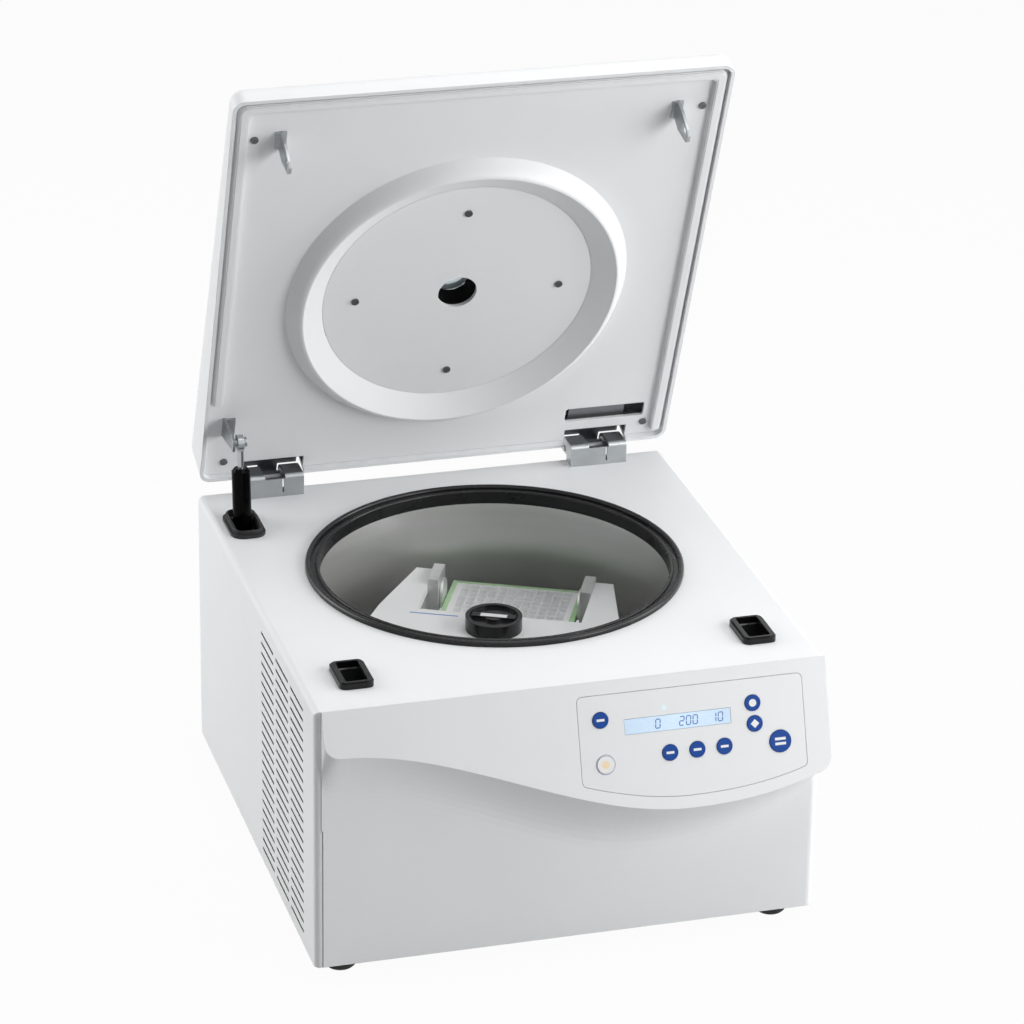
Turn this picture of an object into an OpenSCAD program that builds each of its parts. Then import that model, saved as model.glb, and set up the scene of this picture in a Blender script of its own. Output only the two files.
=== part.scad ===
// Benchtop microplate centrifuge with its lid open and a swing-out rotor for two deep-well plates.
// Millimetres. X is the width, +Y points to the rear, +Z is up.
// The origin is on the bench, under the middle of the housing.

/* [Housing] */
// Width of the housing
body_w = 464; // [450:1:490]
// Depth of the housing between its front and rear faces
body_d = 472; // [460:1:500]
// Height of the housing above its feet
body_h = 252; // [246:1:262]
// Thickness of the painted sheet cover
sheet = 2; // [1.2:0.1:2.5]
// Radius of the cover's long edges and front corners
edge_r = 6; // [4:0.5:7]
// Height of the rubber feet
foot_h = 16; // [10:1:24]
// Radius of a foot
foot_r = 14; // [10:1:18]
// Distance of a foot's centre from the sides and the front
foot_inset = 30; // [28:1:50]
// Clearance between pieces that are fitted into each other and stay still
seat_gap = 0.3; // [0.2:0.05:0.5]

/* [Side vents] */
// Number of vent rows in the left side
vent_rows = 23; // [12:1:23]
// Height from one row to the next
vent_pitch = 10; // [7:0.5:10]
// Number of vent columns
vent_columns = 3; // [1:1:3]
// Length of one vent slot
vent_len = 48; // [30:1:50]
// Distance between two slots of a row
vent_gap = 9; // [6:1:12]
// Height of one vent slot
vent_slot = 2.6; // [1.5:0.1:4]
// Distance of the first row below the top
vent_drop = 20; // [14:1:24]
// Distance of the rearmost slots behind the front
vent_rear = 205; // [190:1:260]

/* [Front moulding] */
// Angle of the control face from the vertical
fascia_tilt = 19.4; // [10:0.2:25]
// Length of the control face at its left end
left_drop = 42; // [35:1:60]
// Length of the control face where it is longest
mid_drop = 121; // [110:1:130]
// How much shorter the face is again at its right end
right_rise = 22; // [10:1:35]
// Distance of the face's left end from the left side
fascia_left = 6; // [4:1:14]
// Corner radius of the face at its left end
left_corner_r = 14; // [6:1:20]
// Corner radius of the face at its right end
right_corner_r = 10; // [5:1:16]
// Distance from the left side to where the lower edge stops falling
curve_end = 332; // [300:1:350]
// Height of the cove below the face at its left end
cove_left = 46; // [30:1:60]
// Height of the cove near the middle
cove_mid = 62; // [40:1:70]
// Height of the cove at the right end
cove_right = 32; // [20:1:45]
// Step of the moulding in front of the cover's edges
face_step = 0.8; // [0.4:0.1:2]
// Wall of the moulding
mould_wall = 5; // [3:0.5:6]
// Depth of the moulding behind the cover's front edge
mould_depth = 14; // [12:1:20]

/* [Keypad and display] */
// Distance of the keypad plate's right edge from the housing's right side
pad_side = 23.5; // [18:0.5:28]
// Width of the keypad plate
pad_w = 207.5; // [204:0.5:212]
// Distance of its top edge below the edge of the housing
pad_top = 12.5; // [8:0.5:14]
// Margin between its lower edge and the edge of the face
pad_margin = 11.5; // [8:0.5:13]
// Corner radius of the keypad plate
pad_corner = 5; // [2:0.5:6]
// Thickness of the keypad plate
pad_t = 2; // [1.5:0.1:3]
// Width of the display window
lcd_w = 98; // [80:1:99]
// Height of the display window
lcd_h = 14; // [10:0.5:16]
// Radius of the small keys
key_r = 7.2; // [5:0.1:7.8]
// Radius of the standby key
standby_r = 7.7; // [5:0.1:9]
// Radius of the start key
start_r = 10; // [7:0.1:11]
// How far a key stands proud of the plate
key_proud = 0.7; // [0.4:0.1:1.5]
// Travel of a key
key_travel = 0.8; // [0.3:0.1:1]
// Gap around a key
key_gap = 0.3; // [0.2:0.05:0.6]
// Thickness of the circuit boards
board_t = 1.6; // [1:0.1:2.4]
// Height of the control board
board_h = 66; // [62:1:68]

/* [Chamber] */
// Distance of the rotor axis from the housing's rear face
axis_in = 218; // [214:1:226]
// Inner radius of the rotor chamber
bowl_r = 188; // [187:0.5:190]
// Wall of the stainless bowl
bowl_t = 1.5; // [1:0.1:2]
// Radius of the opening in the bowl's upper flange
mouth_r = 165; // [164.5:0.1:166]
// Radius of the bowl's floor edge
bowl_floor_r = 22; // [10:1:26]
// Thickness of the steel guard ring around the bowl
guard_t = 5; // [3:0.5:6]
// Gap between bowl and guard ring
guard_gap = 3; // [2:0.5:4]
// Outer radius of the lid gasket
gasket_r = 174.6; // [173:0.2:176]
// Width of the gasket
gasket_w = 13; // [12:0.2:14]
// Height of the gasket above the housing
gasket_h = 5.1; // [4:0.1:5.6]
// Depth of the gasket's skirt inside the bowl
gasket_skirt = 10; // [5:1:16]
// Height of the deck above the base
deck_z = 94; // [90:1:95]
// Thickness of the base and the deck
deck_t = 4; // [3:0.5:5]

/* [Drive] */
// Radius of the motor housing
motor_r = 60; // [52:1:66]
// Height of the motor housing
motor_h = 66; // [60:1:68]
// Radius of the drive shaft
shaft_r = 8; // [6:0.5:10]
// Running clearance of shafts and pins, on the radius
run_gap = 0.05; // [0.03:0.01:0.08]
// Height of the rubber dampers
damper_h = 6; // [4:0.5:8]

/* [Rotor] */
// Angle of the rotor about its axis, as photographed
rotor_turn = 25.5; // [-180:0.5:180]
// Height of the wings' upper face above the bench
wing_z = 203; // [200:0.5:205]
// Thickness of the wings
wing_t = 10; // [6:0.5:12]
// Half width of the rotor across its wings
wing_half = 118; // [112:1:124]
// Half width across the wings' ends
wing_end = 95; // [92:1:99]
// Half length of the wings
wing_len = 118; // [112:1:122]
// Half width of the crossbar
bar_half = 28; // [22:1:34]
// Distance of the bucket axis from the rotor axis
swing_r = 102; // [100:0.5:103]
// Height of the bucket axis below the wings' upper face
swing_drop = 15; // [14:0.5:16]
// Thickness of a bearing block
block_t = 10.4; // [8:0.2:12]
// Length of a bearing block
block_len = 36; // [28:1:38]
// How far a bearing block stands above the wings
block_rise = 5; // [3:0.5:8]
// Radius of a trunnion pin
trunnion_r = 4; // [3:0.2:5]
// Radius of the rotor knob
knob_r = 26.5; // [22:0.5:27]
// Height of the rotor knob above the wings
knob_h = 13.4; // [9:0.2:18]

/* [Buckets and plates] */
// Length of a microplate
plate_w = 127.76; // [127.26:0.01:128.2]
// Width of a microplate
plate_d = 85.48; // [85.1:0.01:85.8]
// Height of a deep-well plate
plate_h = 44; // [40:0.5:44]
// Spacing of the wells
well_pitch = 9; // [9:0.01:9.02]
// Width of a well
well_w = 7.6; // [6:0.1:8.2]
// Depth of the wells' mouths
well_mouth = 3.4; // [1.5:0.1:3.8]
// Distance of the plate's upper face below the bucket axis
plate_drop = 8; // [6:0.5:10]
// Thickness of the bucket's floor
bucket_floor = 3; // [2:0.5:4]
// Thickness of the bucket's end walls
bucket_wall = 2.6; // [2:0.1:2.8]
// Clearance around a plate in its bucket
plate_gap = 0.8; // [0.5:0.1:1]
// Clearance between bucket and bearing block
bucket_gap = 0.5; // [0.4:0.1:1]
// Height of the bucket's side rims
bucket_rim = 12; // [6:1:20]

/* [Lid] */
// Opening angle of the lid
lid_open = 68.5; // [40:0.5:68.5]
// Gap between the closed lid's rim and the housing
lid_gap = 4; // [3:0.1:6]
// Thickness of the lid at its front
lid_front_t = 24; // [23:1:30]
// Thickness of the lid at its rear
lid_rear_t = 50; // [46:1:56]
// Distance of the lid's rear face from the housing's rear face
lid_rear_in = 4; // [2:0.5:5]
// How far the lid's front edge stands out over the housing
lid_front_out = 1; // [0:0.5:3]
// Wall of the lid shell
lid_wall = 3.5; // [2.5:0.1:4]
// Radius of the lid's corners and upper edges
lid_r = 12; // [8:1:16]
// Depth of the inner panel behind the lid's rim
panel_in = 6; // [5.5:0.1:8]
// Thickness of the inner panel
panel_t = 3; // [2:0.5:4]
// Width of the raised lip around the panel
lip_w = 11; // [8:0.5:12]
// Distance of the lip from the lid shell
lip_gap = 2.5; // [2:0.5:4]
// Thickness of the steel plate in the lid
armour_t = 3; // [2:0.5:4]
// Radius of the ridge's crest
ridge_r = 150; // [147:0.5:152]
// Outer radius of the ridge's foot
ridge_foot_r = 163.5; // [160:0.5:168]
// Radius of the round centre plate
disc_r = 128.5; // [124:0.5:131]
// Height of the ridge
ridge_h = 15; // [10:0.5:16]
// Radius of the sight hole
sight_r = 18.5; // [12:0.5:20]
// Pitch radius of the centre plate's screws
disc_screw_r = 98; // [80:1:110]
// Radius of the screw heads
screw_head_r = 3.6; // [2.5:0.1:5]
// Width of the slot in the panel
lid_slot_w = 79.5; // [60:0.5:80]
// Height of the slot in the panel
lid_slot_h = 17; // [10:0.5:18]

/* [Hinges] */
// Distance of the hinge axis behind the housing's rear face
hinge_back = 4; // [2:0.5:5]
// Height of the hinge axis above the housing
hinge_up = 10.6; // [10:0.1:12]
// Distance of a hinge's middle from the housing's side
hinge_side = 71; // [66:1:82]
// Width of a hinge bracket
hinge_w = 56; // [50:1:58]
// Width of the lid leaf's knuckle
leaf_w = 19; // [14:0.5:22]
// Height of the hinge brackets above the housing
bracket_h = 22; // [20:0.5:24]
// Thickness of the hinge plates
hinge_t = 2.5; // [2:0.1:3]
// Radius of a hinge pin
hinge_pin_r = 3; // [2.5:0.1:3.5]
// Radius of a hinge knuckle
knuckle_r = 6; // [5:0.1:6.5]

/* [Latches] */
// Distance of a latch from the housing's side
latch_side = 47.5; // [42:0.5:52]
// Distance of a latch behind the housing's front
latch_in = 59; // [52:1:62]
// Width of a latch bezel
bezel_w = 31; // [30:1:36]
// Length of a latch bezel
bezel_d = 47; // [46:1:52]
// Height of a latch bezel above the housing
bezel_h = 6.5; // [4:0.5:8]
// Width of the opening for a striker
mouth_w = 20; // [16:1:22]
// Length of the opening for a striker
mouth_d = 39.5; // [39:0.5:40]
// Depth of the latch case below the cover
latch_depth = 62; // [56:1:70]
// Thickness of a striker
striker_t = 2.5; // [2:0.1:3]
// Length of a striker below the inner panel
striker_len = 40; // [34:1:44]

/* [Gas strut] */
// Distance of the strut from the housing's left side
strut_side = 27; // [24:1:32]
// Distance of the strut's upper joint in front of the lid's rear face
strut_s = 82; // [78:1:84]
// Distance of the upper joint below the closed lid's rim
strut_n = 32; // [30:1:34]
// Radius of the strut's tube
tube_r = 8.8; // [7:0.1:9]
// Length of the strut's tube
tube_len = 150; // [130:1:160]
// Radius of the piston rod
rod_r = 4; // [3:0.5:5]
// Lean of the open strut to the rear
strut_lean = 4.7; // [4:0.1:5.5]
// Width of the rubber boot around the strut
boot_w = 33; // [30:1:38]
// Length of the rubber boot
boot_d = 58; // [54:1:62]
// Height of the rubber boot
boot_h = 7; // [5:0.5:7.5]

/* [Rear] */
// Radius of the cooling fan's blades
fan_r = 41; // [34:1:44]
// Thickness of the cooling fan
fan_t = 25; // [20:1:30]
// Distance of the fan's axis from the housing's right side
fan_side = 102; // [82:1:112]
// Height of the fan's axis above the base
fan_up = 122; // [110:1:140]
// Distance of the power inlet from the housing's left side
inlet_side = 92; // [72:1:122]
// Height of the power inlet above the base
inlet_up = 44; // [36:1:60]
// Width of the power supply
supply_w = 96; // [80:1:100]
// Length of the power supply
supply_d = 200; // [160:5:220]
// Height of the power supply
supply_h = 62; // [50:1:66]
// Distance of the power supply from the housing's right side
supply_side = 40; // [30:1:50]
// Distance of the power supply from the housing's rear face
supply_rear = 126; // [110:1:140]

/* [Hidden] */
$fn = 96;
eps = 0.01;

// Main planes
base_z = foot_h;
top_z = foot_h + body_h;
front_y = -body_d / 2;
rear_y = body_d / 2;
side_x = body_w / 2;
base_top = base_z + deck_t;
deck_top = base_z + deck_z;
window_half = side_x - edge_r - 1;
rotor_y = rear_y - axis_in;

// Front moulding
face_y = front_y - face_step;
fascia_x0 = -side_x + fascia_left;
fascia_x1 = side_x - 0.5;
curve_x1 = -side_x + curve_end;
face_steps = 44;
corner_steps = 7;
cove_steps = 8;

// Keypad, in the frame of the control face: x, distance down the face, depth into it
pad_x1 = side_x - pad_side;
pad_x0 = pad_x1 - pad_w;
lcd_x = pad_x0 + 90.7;
lcd_t = pad_top + 30.6;
key_flange = 1.1;
key_back = pad_t + 0.2;
flange_t = 1.2;
switch_top = key_back + flange_t + key_travel + 0.2;
board_z = switch_top + 3.6;
open_key_at = [pad_x0 + 20.4, pad_top + 21.9];
standby_at = [pad_x0 + 22.3, pad_top + 61.5];
row_t = pad_top + 57.3;
temperature_at = [pad_x0 + 81.8, row_t];
speed_at = [pad_x0 + 106.9, row_t];
time_at = [pad_x0 + 132, row_t];
rotor_key_at = [pad_x0 + 160.5, pad_top + 21.9];
short_at = [pad_x0 + 161.3, pad_top + 40.4];
start_at = [pad_x0 + 183.8, pad_top + 58.6];

// Chamber and drive
bowl_out = bowl_r + bowl_t;
guard_r0 = bowl_out + guard_gap;
guard_r1 = guard_r0 + guard_t;
gasket_in = gasket_r - gasket_w;
motor_top = deck_top - deck_t - damper_h;
motor_z = motor_top - motor_h;
motor_flange_r = motor_r + 16;
boss_r = shaft_r + 14;
seal_hole_r = boss_r + 8;
boss_top = deck_top + 14;
deck_hole_r = boss_r + 14;
motor_wall = 4;
bearing_r = shaft_r + 7;
bearing_h = 10;

// Rotor, in its own frame: x along the bucket axes, y towards the buckets
swing_z = wing_z - swing_drop;
block_top = wing_z + block_rise;
block_h = 43;
plate_half = plate_w / 2;
bucket_in = plate_half + plate_gap;
bucket_out = bucket_in + bucket_wall;
block_x0 = bucket_out + bucket_gap;
block_x1 = block_x0 + block_t;
plate_top = swing_z - plate_drop;
plate_z = plate_top - plate_h;
bucket_z = plate_z - bucket_floor;
bucket_half_d = plate_d / 2 + plate_gap + bucket_wall;
hub_r = 30;
cheek_t = 8;

// Lid, drawn closed and then turned open about the hinge axis
rim_z = top_z + lid_gap;
lid_y1 = rear_y - lid_rear_in;
lid_y0 = front_y - lid_front_out;
hinge_x = side_x - hinge_side;
hinge_y = rear_y + hinge_back;
hinge_z = top_z + hinge_up;
panel_z = rim_z + panel_in;
panel_top = panel_z + panel_t;
armour_top = panel_top + armour_t;
panel_half = side_x - lid_wall - seat_gap;
lip_out = side_x - lid_wall - lip_gap;
lip_in = lip_out - lip_w;
lip_y0 = lid_y0 + lid_wall + lip_gap;
ridge_steps = 10;
disc_z = panel_z - 1;
screw_y0 = lid_y0 + 49.5;
screw_y1 = lid_y1 - 20;
screw_x = side_x - 23.5;

// Hinges
bracket_y = rear_y - 19;
bracket_top = top_z + bracket_h;
curl_r = bracket_top - hinge_z;
bend_r = 4;
reach = norm([hinge_y - bracket_y - bend_r, curl_r - bend_r]) + bend_r;
notch_y = hinge_y - reach - 0.8;
notch_half = hinge_w / 2 + 3;
leaf_z = bracket_top + 1.5;
leaf_end = lid_y1 - 56;

// Latches
latch_x = side_x - latch_side;
latch_y = front_y + latch_in;
case_w = bezel_w + 5;
case_d = bezel_d;
case_t = 2.5;
case_z0 = top_z - sheet - latch_depth;
striker_y = latch_y - 9;
pawl_x = 11;
pawl_z = panel_z - 44;

// Gas strut: the upper joint with the lid closed and with the lid open
strut_x = side_x - strut_side;
strut_y0 = lid_y1 - strut_s;
strut_z0 = rim_z - strut_n;
strut_dy = strut_y0 - hinge_y;
strut_dz = strut_z0 - hinge_z;
strut_y = hinge_y + strut_dy * cos(lid_open) + strut_dz * sin(lid_open);
strut_z = hinge_z - strut_dy * sin(lid_open) + strut_dz * cos(lid_open);
boot_y = strut_y0 + 7.5;
boot_hole_w = 2 * tube_r + 5.4;
boot_hole_d = boot_d - 8;
boot_hole_r = 6;
strut_run = top_z + 40;
foot_strut_y = strut_y - sin(strut_lean) * strut_run;
foot_strut_z = strut_z - cos(strut_lean) * strut_run;
stroke = strut_run - norm([strut_y0 - foot_strut_y, strut_z0 - foot_strut_z]);
tube_start = 28;
bore_start = tube_start + 7;
eye_half = 3;

// Rear
fan_x = side_x - fan_side;
inlet_x = side_x - inlet_side;
fan_z = base_z + fan_up;
inlet_z = base_z + inlet_up;
fan_y1 = rear_y - sheet;
fan_y0 = fan_y1 - fan_t;

// Outline helpers
module round_rect(w, d, r) {
    square([w - 2 * r, d], center = true);
    square([w, d - 2 * r], center = true);
    for (sx = [-1, 1], sy = [-1, 1])
        translate([sx * (w / 2 - r), sy * (d / 2 - r)])
            circle(r = r);
}

module round_box(w, d, h, r) {
    linear_extrude(height = h)
        round_rect(w, d, r);
}

module along_x(x0, len) {
    translate([x0, 0, 0])
        rotate([90, 0, 90])
            linear_extrude(height = len)
                children();
}

module along_y(y1, len) {
    translate([0, y1, 0])
        rotate([90, 0, 0])
            linear_extrude(height = len)
                children();
}

module rod_x(x0, len, r) {
    translate([x0, 0, 0])
        rotate([0, 90, 0])
            cylinder(r = r, h = len);
}

module ring(r1, r0, h) {
    difference() {
        cylinder(r = r1, h = h);
        translate([0, 0, -1])
            cylinder(r = r0, h = h + 2);
    }
}

// Frames
module on_face() {
    translate([0, face_y, top_z])
        rotate([-90 - fascia_tilt, 0, 0])
            children();
}

module at_axis(z = 0) {
    translate([0, rotor_y, z])
        children();
}

module at_rotor() {
    translate([0, rotor_y, 0])
        rotate([0, 0, -rotor_turn])
            children();
}

module lid_pose() {
    translate([0, hinge_y, hinge_z])
        rotate([-lid_open, 0, 0])
            translate([0, -hinge_y, -hinge_z])
                children();
}

module strut_pose() {
    translate([-strut_x, strut_y, strut_z])
        rotate([-strut_lean, 0, 0])
            children();
}

// Housing
module cover_outline(inset) {
    w = body_w - 2 * inset;
    r = edge_r - min(inset, edge_r - 1);
    translate([-w / 2, base_z - 1])
        square([w, body_h + 1 - inset - r]);
    translate([-w / 2 + r, base_z])
        square([w - 2 * r, body_h - inset]);
    for (sx = [-1, 1])
        translate([sx * (w / 2 - r), top_z - inset - r])
            circle(r = r);
}

module cover_plan(inset) {
    w = body_w - 2 * inset;
    r = edge_r - min(inset, edge_r - 1);
    translate([-w / 2 + r, front_y + inset])
        square([w - 2 * r, body_d - inset + 1]);
    translate([-w / 2, front_y + inset + r])
        square([w, body_d - inset - r + 1]);
    for (sx = [-1, 1])
        translate([sx * (w / 2 - r), front_y + inset + r])
            circle(r = r);
}

module cover_solid(inset) {
    intersection() {
        along_y(rear_y + (inset > 0 ? 1 : 0), body_d + 2)
            cover_outline(inset);
        linear_extrude(height = top_z + 1)
            cover_plan(inset);
        translate([-body_w, -body_d, base_z - (inset > 0 ? 1 : 0)])
            cube([2 * body_w, body_d + rear_y + (inset > 0 ? 1 : 0), body_h + 1]);
    }
}

module vents() {
    for (c = [0 : vent_columns - 1], i = [0 : vent_rows - 1])
        translate([
            -side_x - 1,
            front_y + vent_rear - (c + 1) * vent_len - c * vent_gap,
            top_z - vent_drop - i * vent_pitch
        ])
            cube([edge_r, vent_len, vent_slot]);
}

module housing_cover() {
    color("white")
        difference() {
            cover_solid(0);
            cover_solid(sheet);
            translate([-window_half, front_y - 1, base_z - 1])
                cube([2 * window_half, sheet + 2, body_h - sheet + 1]);
            at_axis(top_z - sheet - 1)
                cylinder(r = mouth_r + 1, h = sheet + 2);
            for (sx = [-1, 1])
                translate([sx * latch_x, latch_y, top_z - sheet - 1])
                    linear_extrude(height = sheet + 2)
                        square([mouth_w + 4, mouth_d + 2], center = true);
            translate([-strut_x, boot_y, top_z - sheet - 1])
                round_box(boot_hole_w + 2, boot_hole_d + 2, sheet + 2, boot_hole_r + 1);
            vents();
        }
}

module base_plate() {
    w = body_w - 2 * sheet - 2 * seat_gap;
    d = body_d - mould_depth - sheet - 3 * seat_gap;
    color("gainsboro")
        union() {
            translate([-w / 2, rear_y - sheet - seat_gap - d, base_z])
                cube([w, d, deck_t]);
            // Lug and pin of the gas strut's lower joint
            translate([-strut_x - 14, foot_strut_y - 14, base_top - eps])
                cube([3, 28, foot_strut_z + 10 - base_top]);
            translate([-strut_x - 12, foot_strut_y, foot_strut_z])
                rod_x(0, 12 - eye_half - 1, 4);
        }
}

module feet() {
    color("dimgray")
        for (sx = [-1, 1], y = [front_y + foot_inset, rear_y - foot_inset])
            translate([sx * (side_x - foot_inset), y, 0])
                rotate_extrude()
                    polygon([
                        [0, 0], [foot_r - 2, 0], [foot_r, 2], [foot_r, foot_h - 4],
                        [foot_r - 2, foot_h], [0, foot_h]
                    ]);
}

// Lower edge of the control face
function smooth(u) = let (c = min(1, max(0, u))) c * c * (3 - 2 * c);
function after(u, p) = pow(max(0, u), p);
function face_edge(x) =
    left_drop
    + (mid_drop - left_drop) * smooth((x - fascia_x0 - 11) / (curve_x1 - fascia_x0 - 11))
    - right_rise * after((x - curve_x1) / (fascia_x1 - curve_x1), 2.3);
function round_cut(d, r) = d >= r ? 0 : r - sqrt(max(0, r * r - (r - d) * (r - d)));
function face_drop(x) =
    face_edge(x) - round_cut(x - fascia_x0, left_corner_r) - round_cut(fascia_x1 - x, right_corner_r);
function cove_h(x) =
    cove_left
    + (cove_mid - cove_left) * smooth((x - fascia_x0) / (side_x + 20))
    - (cove_mid - cove_right) * after((x - 28) / (fascia_x1 - 28), 1.5);

// Stations across the width, closer together in the rounded ends
mid_x0 = fascia_x0 + left_corner_r;
mid_x1 = fascia_x1 - right_corner_r;
stations = concat(
    [for (i = [0 : corner_steps - 1])
        fascia_x0 + left_corner_r * (1 - cos(90 * i / corner_steps))],
    [for (i = [0 : face_steps]) mid_x0 + (mid_x1 - mid_x0) * i / face_steps],
    [for (i = [1 : corner_steps])
        mid_x1 + right_corner_r * sin(90 * i / corner_steps)]
);

function face_section(x) =
    let (
        d = face_drop(x),
        out = d * sin(fascia_tilt),
        z = top_z - d * cos(fascia_tilt),
        c = cove_h(x),
        profile = concat(
            [[face_y, top_z], [face_y - out, z]],
            [for (j = [1 : cove_steps])
                let (u = j / cove_steps)
                [face_y - out * (1 - u) * (1 - u), z - c * u]],
            [[face_y, base_z + seat_gap]]
        )
    )
    concat(
        [for (p = profile) [x, p[0], p[1]]],
        [for (j = [profile_n - 1 : -1 : 0]) [x, front_y, profile[j][1]]]
    );
profile_n = cove_steps + 3;
section_n = 2 * profile_n;
station_n = corner_steps + face_steps + 1 + corner_steps;

module face_solid() {
    points = [for (x = stations) each face_section(x)];
    end = (station_n - 1) * section_n;
    sides = [
        for (i = [0 : station_n - 2], j = [0 : section_n - 1])
            let (
                k = (j + 1) % section_n,
                a = i * section_n,
                b = a + section_n
            )
            each [[a + j, b + j, b + k], [a + j, b + k, a + k]]
    ];
    caps = [
        for (j = [0 : profile_n - 2])
            let (m = section_n - 1 - j)
            each [
                [j, j + 1, m - 1, m],
                [end + m, end + m - 1, end + j + 1, end + j]
            ]
    ];
    polyhedron(points = points, faces = concat(sides, caps), convexity = 6);
}

// Outline of the keypad plate on the control face
module pad_outline(grow) {
    offset(r = pad_corner + grow, $fn = 32)
        offset(delta = -pad_corner)
            polygon(concat(
                [[pad_x0, pad_top], [pad_x1, pad_top]],
                [for (i = [0 : 20])
                    let (x = pad_x1 - pad_w * i / 20)
                    [x, face_edge(x) - pad_margin]]
            ));
}

module front_panel() {
    inner_h = body_h - sheet - 2 * seat_gap;
    half = window_half - seat_gap;
    cove_foot = top_z - face_drop(fascia_x1) * cos(fascia_tilt) - cove_right;
    color("whitesmoke")
        difference() {
            union() {
                face_solid();
                translate([-half, face_y + face_step / 2, base_z + seat_gap])
                    cube([2 * half, mould_depth, inner_h]);
            }
            translate([-half + mould_wall, front_y + mould_wall, base_z + mould_wall])
                cube([2 * half - 2 * mould_wall, mould_depth, inner_h - 2 * mould_wall]);
            for (sx = [-1, 1])
                translate([sx * (half + 10) - 10, front_y - 5, base_z - 1])
                    cube([20, 10, cove_foot - base_z + 1 - eps]);
            on_face() {
                translate([0, 0, -1])
                    linear_extrude(height = pad_t + 1)
                        pad_outline(seat_gap);
                linear_extrude(height = 60)
                    pad_outline(-4);
            }
        }
}

module keypad_plate() {
    color("gainsboro")
        on_face()
            difference() {
                linear_extrude(height = pad_t)
                    pad_outline(-0.1);
                translate([lcd_x - lcd_w / 2, lcd_t - lcd_h / 2, -1])
                    cube([lcd_w, lcd_h, pad_t + 2]);
                for (k = [
                    [open_key_at, key_r], [standby_at, standby_r], [temperature_at, key_r],
                    [speed_at, key_r], [time_at, key_r], [rotor_key_at, key_r],
                    [short_at, key_r], [start_at, start_r]
                ])
                    translate([k[0][0], k[0][1], -1])
                        cylinder(r = k[1] + key_gap, h = pad_t + 2);
            }
}

module display_window() {
    color("lightsteelblue")
        on_face()
            translate([
                lcd_x - lcd_w / 2 + seat_gap,
                lcd_t - lcd_h / 2 + seat_gap,
                0
            ])
                cube([lcd_w - 2 * seat_gap, lcd_h - 2 * seat_gap, pad_t]);
}

module control_board() {
    color("seagreen")
        on_face() {
            translate([pad_x0 + 8, pad_top + 8, board_z])
                cube([pad_w - 14, board_h, board_t]);
            // Display module behind its window
            translate([lcd_x - lcd_w / 2, lcd_t - lcd_h / 2, pad_t])
                cube([lcd_w, lcd_h, board_z - pad_t + eps]);
            // Push switches behind the keys
            for (k = [
                open_key_at, standby_at, temperature_at, speed_at, time_at, rotor_key_at,
                short_at, start_at
            ])
                translate([k[0] - 3, k[1] - 3, switch_top])
                    cube([6, 6, board_z - switch_top + eps]);
        }
}

module key(at, r, tint) {
    color(tint)
        on_face()
            translate([at[0], at[1], 0]) {
                translate([0, 0, -key_proud])
                    cylinder(r = r, h = key_proud + key_back + eps);
                translate([0, 0, key_back])
                    cylinder(r = r + key_flange, h = flange_t);
            }
}

module open_key() { key(open_key_at, key_r, "royalblue"); }
module standby_key() { key(standby_at, standby_r, "white"); }
module temperature_key() { key(temperature_at, key_r, "royalblue"); }
module speed_key() { key(speed_at, key_r, "royalblue"); }
module time_key() { key(time_at, key_r, "royalblue"); }
module rotor_key() { key(rotor_key_at, key_r, "royalblue"); }
module short_key() { key(short_at, key_r, "royalblue"); }
module start_key() { key(start_at, start_r, "royalblue"); }

module rear_panel() {
    w = body_w - 2 * sheet - 2 * seat_gap;
    h = body_h - sheet - deck_t - 2 * seat_gap;
    color("white")
        difference() {
            translate([0, 0, base_top + seat_gap + h / 2])
                along_y(rear_y, sheet)
                    round_rect(w, h, edge_r - sheet);
            // Slots of the fan grille
            intersection() {
                for (i = [-6 : 6])
                    translate([fan_x - fan_r, rear_y - sheet - 1, fan_z + i * 6 - 1.5])
                        cube([2 * fan_r, sheet + 2, 3]);
                translate([fan_x, rear_y + 1, fan_z])
                    rotate([90, 0, 0])
                        cylinder(r = fan_r, h = sheet + 2);
            }
            translate([-inlet_x, rear_y - sheet - 1, inlet_z])
                along_y(sheet + 2, sheet + 2)
                    square([70, 30], center = true);
        }
}

// Power inlet with its three contacts, and the frame of the mains switch
module power_inlet() {
    color("dimgray")
        translate([-inlet_x, 0, inlet_z])
            difference() {
                union() {
                    along_y(rear_y + 2.5, 2.5)
                        round_rect(78, 38, 4);
                    along_y(rear_y + eps, 24)
                        square([69.4, 29.4], center = true);
                }
                translate([-16, 0, 0])
                    difference() {
                        along_y(rear_y + 3, 18)
                            round_rect(27, 20, 3);
                        for (p = [[-7, 0], [7, 0], [0, 4]])
                            along_y(rear_y + 1, 18)
                                translate([p[0], p[1]])
                                    square([1.6, 4], center = true);
                    }
                translate([20, 0, 0])
                    along_y(rear_y + 3, 18)
                        square([20, 26], center = true);
            }
}

switch_tilt = 8;
module mains_switch() {
    color("black")
        translate([-inlet_x + 20, rear_y - 4, inlet_z])
            rotate([switch_tilt, 0, 0])
                translate([-9.4, 0, 0]) {
                    along_x(0, 18.8)
                        polygon([[-5, -3], [4, -11.4], [6, -11.4], [5, 0], [6, 11.4], [4, 11.4], [-5, 3]]);
                    // Pivot on which it rocks
                    rod_x(-0.3, 19.4, 2.5);
                }
}

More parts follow.
